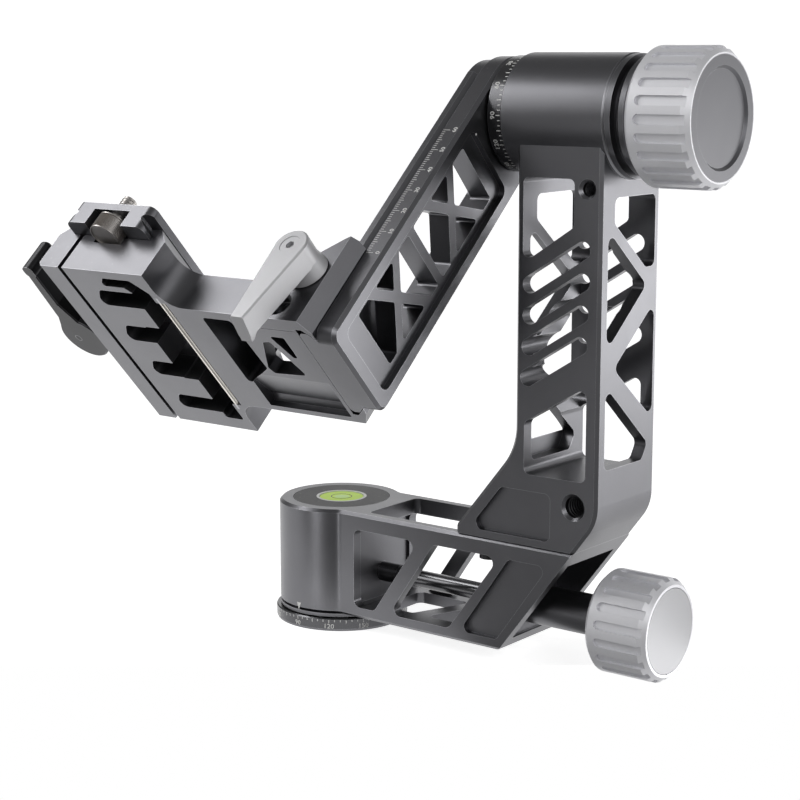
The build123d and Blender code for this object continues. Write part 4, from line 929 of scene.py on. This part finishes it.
class GIMBAL_OT_studio(bpy.types.Operator):
    """Set up the camera, the pale floor and backdrop, and the soft lights"""

    bl_idname = "gimbal.studio"
    bl_label = "Studio"

    # The camera that was fitted to the photograph.
    AZIMUTH = math.radians(38.14)
    ELEVATION = math.radians(10.37)
    ROLL = math.radians(-0.04)
    TARGET = Vector((30.78, 0, 93.68)) * MM
    DISTANCE = 763.98 * MM
    SENSOR = 36
    LENS = 85.97

    # The stage, in metres; the floor is given before it is turned to face the camera.
    FLOOR_X, FLOOR_Y = 0.14, 0.43
    FLOOR_WIDTH, FLOOR_DEPTH = 0.36, 1.1
    FLOOR_BACK = 0.9
    SWEEP_RADIUS, SWEEP_STEPS, SWEEP_WIDENING = 0.5, 10, 1.08
    BACKDROP_HEIGHT = 1.6
    WHITE = 0.82
    SCREEN_RADIUS, SCREEN_CENTRE, SCREEN_GAP_TOP = 1.7, 0.1, 1.1
    SCREEN_LEFT, SCREEN_RIGHT = 134, 345
    CARD_PLACE, CARD_TURN = (-1.05, -0.6, 0), math.radians(29)
    CARD_HEIGHT, CARD_WIDTH = 1.6, 0.42
    MIDDLE = (0.04, -0.02, 0.11)
    CLAMP_END = (-0.05, -0.108, 0.171)

    # Each light's setting, place, target, width and height.
    LIGHTS = (
        ("key_light", (-0.68, -0.66, 0.7), MIDDLE, 0.5, 0.75),
        ("side_light", (0.62, 0.6, -0.1), MIDDLE, 0.7, 0.55),
        ("fill_light", (0.95, -0.5, 0.6), MIDDLE, 0.5, 0.5),
        ("strip_light", (-0.12, -0.98, -0.06), (0, 0, 0), 0.1, 0.3),
        ("clamp_light", (-0.275, -0.147, 0.447), CLAMP_END, 0.16, 0.16),
    )

    def empty_material(self, name):
        """A material with nothing in its tree."""
        material = bpy.data.materials.new(name)
        material.use_nodes = True
        material.node_tree.nodes.clear()
        return material

    def seen_directly(self, tree, place):
        """One for rays from the camera and for what gloss and glass show, and nought for the rest."""
        path = shader_node(tree, "ShaderNodeLightPath", place)
        seen = path.outputs["Is Camera Ray"]
        for step, kind in enumerate(("Is Glossy Ray", "Is Transmission Ray"), start=1):
            spot = (place[0] + step, place[1])
            either = shader_node(tree, "ShaderNodeMath", spot, operation="ADD", use_clamp=True)
            tree.links.new(seen, either.inputs[0])
            tree.links.new(path.outputs[kind], either.inputs[1])
            seen = either.outputs["Value"]
        return seen

    def floor_material(self):
        """Matt white that keeps the shadow, lit up to white where it is seen directly."""
        material = self.empty_material("studio_white")
        tree = material.node_tree
        link = tree.links.new
        glow = shader_node(tree, "ShaderNodeMath", (1, 0), operation="MULTIPLY")
        glow.inputs[1].default_value = 0.8
        link(self.seen_directly(tree, (-2, 0)), glow.inputs[0])
        pale = {"Color": (self.WHITE, self.WHITE, self.WHITE, 1)}
        matt = shader_node(tree, "ShaderNodeBsdfDiffuse", (1, 1), pale)
        shine = shader_node(tree, "ShaderNodeEmission", (2, 0), {"Color": (1, 1, 1, 1)})
        link(glow.outputs["Value"], shine.inputs["Strength"])
        both = shader_node(tree, "ShaderNodeAddShader", (3, 0))
        link(matt.outputs["BSDF"], both.inputs[0])
        link(shine.outputs["Emission"], both.inputs[1])
        out = shader_node(tree, "ShaderNodeOutputMaterial", (4, 0))
        link(both.outputs["Shader"], out.inputs["Surface"])
        return material

    def floor(self, context):
        """A floor that curves up behind the object."""
        bpy.ops.object.select_all(action="DESELECT")
        bpy.ops.mesh.primitive_plane_add(
            size=1,
            location=(self.FLOOR_X, self.FLOOR_Y, 0),
            scale=(self.FLOOR_WIDTH, self.FLOOR_DEPTH, 1),
        )
        sweep = context.view_layer.objects.active
        sweep.name = "studio_floor"
        settle(sweep)
        vertices = sweep.data.vertices
        for face in sweep.data.polygons:
            face.select = False
        for edge in sweep.data.edges:
            edge.select = all(vertices[i].co.y > self.FLOOR_BACK for i in edge.vertices)
        for vertex in vertices:
            vertex.select = vertex.co.y > self.FLOOR_BACK
        bpy.ops.object.mode_set(mode="EDIT")
        bpy.ops.mesh.select_mode(type="EDGE")
        for index in range(self.SWEEP_STEPS):
            low = math.pi / 2 * index / self.SWEEP_STEPS
            high = math.pi / 2 * (index + 1) / self.SWEEP_STEPS
            rise = self.SWEEP_RADIUS * (math.cos(low) - math.cos(high))
            back = self.SWEEP_RADIUS * (math.sin(high) - math.sin(low))
            bpy.ops.mesh.extrude_region_move(TRANSFORM_OT_translate={"value": (0, back, rise)})
            bpy.ops.transform.resize(
                value=(self.SWEEP_WIDENING, 1, 1), center_override=(self.FLOOR_X, 0, 0)
            )
        bpy.ops.mesh.extrude_region_move(TRANSFORM_OT_translate={"value": (0, 0, self.BACKDROP_HEIGHT)})
        bpy.ops.object.mode_set(mode="OBJECT")
        bpy.ops.object.shade_smooth()
        sweep.data.transform(Matrix.Rotation(self.AZIMUTH, 4, "Z"))
        sweep.data.materials.append(self.floor_material())

    def screen(self, context):
        """A plain grey screen round the front and the left, unseen by the camera."""
        bpy.ops.object.select_all(action="DESELECT")
        bpy.ops.mesh.primitive_uv_sphere_add(
            segments=72, ring_count=36, radius=self.SCREEN_RADIUS, location=(0, 0, self.SCREEN_CENTRE)
        )
        screen = context.view_layer.objects.active
        screen.name = "studio_screen"
        settle(screen)
        bpy.ops.object.mode_set(mode="EDIT")
        bpy.ops.mesh.select_mode(type="FACE")
        bpy.ops.mesh.select_all(action="DESELECT")
        bpy.ops.object.mode_set(mode="OBJECT")
        for face in screen.data.polygons:
            turn = math.degrees(math.atan2(face.center.y, face.center.x)) % 360
            in_gap = turn < self.SCREEN_LEFT or turn > self.SCREEN_RIGHT
            face.select = in_gap and face.center.z < self.SCREEN_GAP_TOP
        bpy.ops.object.mode_set(mode="EDIT")
        bpy.ops.mesh.delete(type="FACE")
        bpy.ops.object.mode_set(mode="OBJECT")
        material = self.empty_material("studio_screen")
        tree = material.node_tree
        shade = {"Strength": context.scene.gimbal_studio.screen}
        glow = shader_node(tree, "ShaderNodeEmission", (0, 0), shade)
        out = shader_node(tree, "ShaderNodeOutputMaterial", (1, 0))
        tree.links.new(glow.outputs["Emission"], out.inputs["Surface"])
        screen.data.materials.append(material)
        screen.visible_camera = False

    def black_card(self, context):
        """A black upright card on the left, for the round housing to reflect."""
        bpy.ops.object.select_all(action="DESELECT")
        bpy.ops.mesh.primitive_plane_add(
            size=1, location=self.CARD_PLACE, rotation=(0, math.pi / 2, self.CARD_TURN)
        )
        card = context.view_layer.objects.active
        card.name = "studio_black_card"
        card.scale = (self.CARD_HEIGHT, self.CARD_WIDTH, 1)
        settle(card)
        material = bpy.data.materials.new("studio_black")
        material.use_nodes = True
        surface = material.node_tree.nodes["Principled BSDF"]
        surface.inputs["Base Color"].default_value = (0.01, 0.01, 0.01, 1)
        surface.inputs["Roughness"].default_value = 0.9
        card.data.materials.append(material)
        card.visible_camera = False

    def softbox(self, context, name, place, target, wide, tall):
        """A soft light whose surface has the brightness of its setting."""
        bpy.ops.object.select_all(action="DESELECT")
        bpy.ops.object.light_add(type="AREA", location=place)
        lamp = context.view_layer.objects.active
        lamp.name = name
        lamp.data.shape = "RECTANGLE"
        lamp.data.size = wide
        lamp.data.size_y = tall
        lamp.data.energy = getattr(context.scene.gimbal_studio, name) * wide * tall * math.pi
        direction = Vector(target) - Vector(place)
        lamp.rotation_euler = direction.to_track_quat("-Z", "Y").to_euler()
        lamp.visible_camera = False

    def world(self, context):
        """White to the camera, gloss and glass, and a quiet grey room to matt surfaces."""
        world = bpy.data.worlds.new("studio_room")
        context.scene.world = world
        world.use_nodes = True
        tree = world.node_tree
        tree.nodes.clear()
        link = tree.links.new
        white = {"Color": (1, 1, 1, 1)}
        grey = {**white, "Strength": context.scene.gimbal_studio.room}
        room = shader_node(tree, "ShaderNodeBackground", (1, 1), grey)
        backdrop = shader_node(tree, "ShaderNodeBackground", (1, 2), white)
        mix = shader_node(tree, "ShaderNodeMixShader", (2, 0))
        link(self.seen_directly(tree, (-3, 0)), mix.inputs["Fac"])
        link(room.outputs["Background"], mix.inputs[1])
        link(backdrop.outputs["Background"], mix.inputs[2])
        out = shader_node(tree, "ShaderNodeOutputWorld", (3, 0))
        link(mix.outputs["Shader"], out.inputs["Surface"])

    def camera(self, context):
        """The photograph's own viewpoint."""
        level = math.cos(self.ELEVATION)
        back = Vector(
            (level * math.sin(self.AZIMUTH), -level * math.cos(self.AZIMUTH), math.sin(self.ELEVATION))
        )
        right = Vector(UP).cross(back).normalized()
        turn = Matrix((right, back.cross(right), back)).transposed().to_4x4()
        place = Matrix.Translation(self.TARGET + back * self.DISTANCE)
        bpy.ops.object.camera_add()
        camera = context.view_layer.objects.active
        camera.matrix_world = place @ turn @ Matrix.Rotation(self.ROLL, 4, "Z")
        camera.data.sensor_width = self.SENSOR
        camera.data.lens = self.LENS
        camera.data.clip_start = 0.01
        context.scene.camera = camera

    def execute(self, context):
        self.floor(context)
        self.screen(context)
        self.black_card(context)
        for light in self.LIGHTS:
            self.softbox(context, *light)
        self.world(context)
        self.camera(context)
        context.scene.view_settings.view_transform = "Standard"
        return {"FINISHED"}


class GIMBAL_PT_sidebar(bpy.types.Panel):
    """Lists the pieces and settings"""

    bl_label = "Gimbal tripod head"
    bl_idname = "GIMBAL_PT_sidebar"
    bl_space_type = "VIEW_3D"
    bl_region_type = "UI"
    bl_category = "Gimbal head"

    def draw(self, context):
        for group in ("gimbal_finish", "gimbal_marks", "gimbal_studio"):
            settings = getattr(context.scene, group)
            box = self.layout.box()
            for name in settings.bl_rna.properties.keys():
                if name not in ("rna_type", "name"):
                    box.prop(settings, name)
        for operator in OPERATORS:
            self.layout.operator(operator.bl_idname)


SETTINGS = (GimbalFinishSettings, GimbalMarkSettings, GimbalStudioSettings)
OPERATORS = (
    GIMBAL_OT_finishes,
    GIMBAL_OT_pan_scale,
    GIMBAL_OT_pan_pointer,
    GIMBAL_OT_tilt_scale,
    GIMBAL_OT_height_scale,
    GIMBAL_OT_threads,
    GIMBAL_OT_camera_screw,
    GIMBAL_OT_level_bubble,
    GIMBAL_OT_index_dot,
    GIMBAL_OT_studio,
)
CLASSES = (*SETTINGS, *OPERATORS, GIMBAL_PT_sidebar)


def register():
    """Adds the classes, and the settings to the scene."""
    for made in CLASSES:
        bpy.utils.register_class(made)
    bpy.types.Scene.gimbal_finish = PointerProperty(type=GimbalFinishSettings)
    bpy.types.Scene.gimbal_marks = PointerProperty(type=GimbalMarkSettings)
    bpy.types.Scene.gimbal_studio = PointerProperty(type=GimbalStudioSettings)


def unregister():
    """Takes the settings and classes away again."""
    del bpy.types.Scene.gimbal_finish
    del bpy.types.Scene.gimbal_marks
    del bpy.types.Scene.gimbal_studio
    for made in reversed(CLASSES):
        bpy.utils.unregister_class(made)


def main():
    """Builds everything."""
    register()
    bpy.ops.gimbal.finishes()
    bpy.ops.gimbal.pan_scale()
    bpy.ops.gimbal.pan_pointer()
    bpy.ops.gimbal.tilt_scale()
    bpy.ops.gimbal.height_scale()
    bpy.ops.gimbal.threads()
    bpy.ops.gimbal.camera_screw()
    bpy.ops.gimbal.level_bubble()
    bpy.ops.gimbal.index_dot()
    bpy.ops.gimbal.studio()


if __name__ == "__main__":
    main()
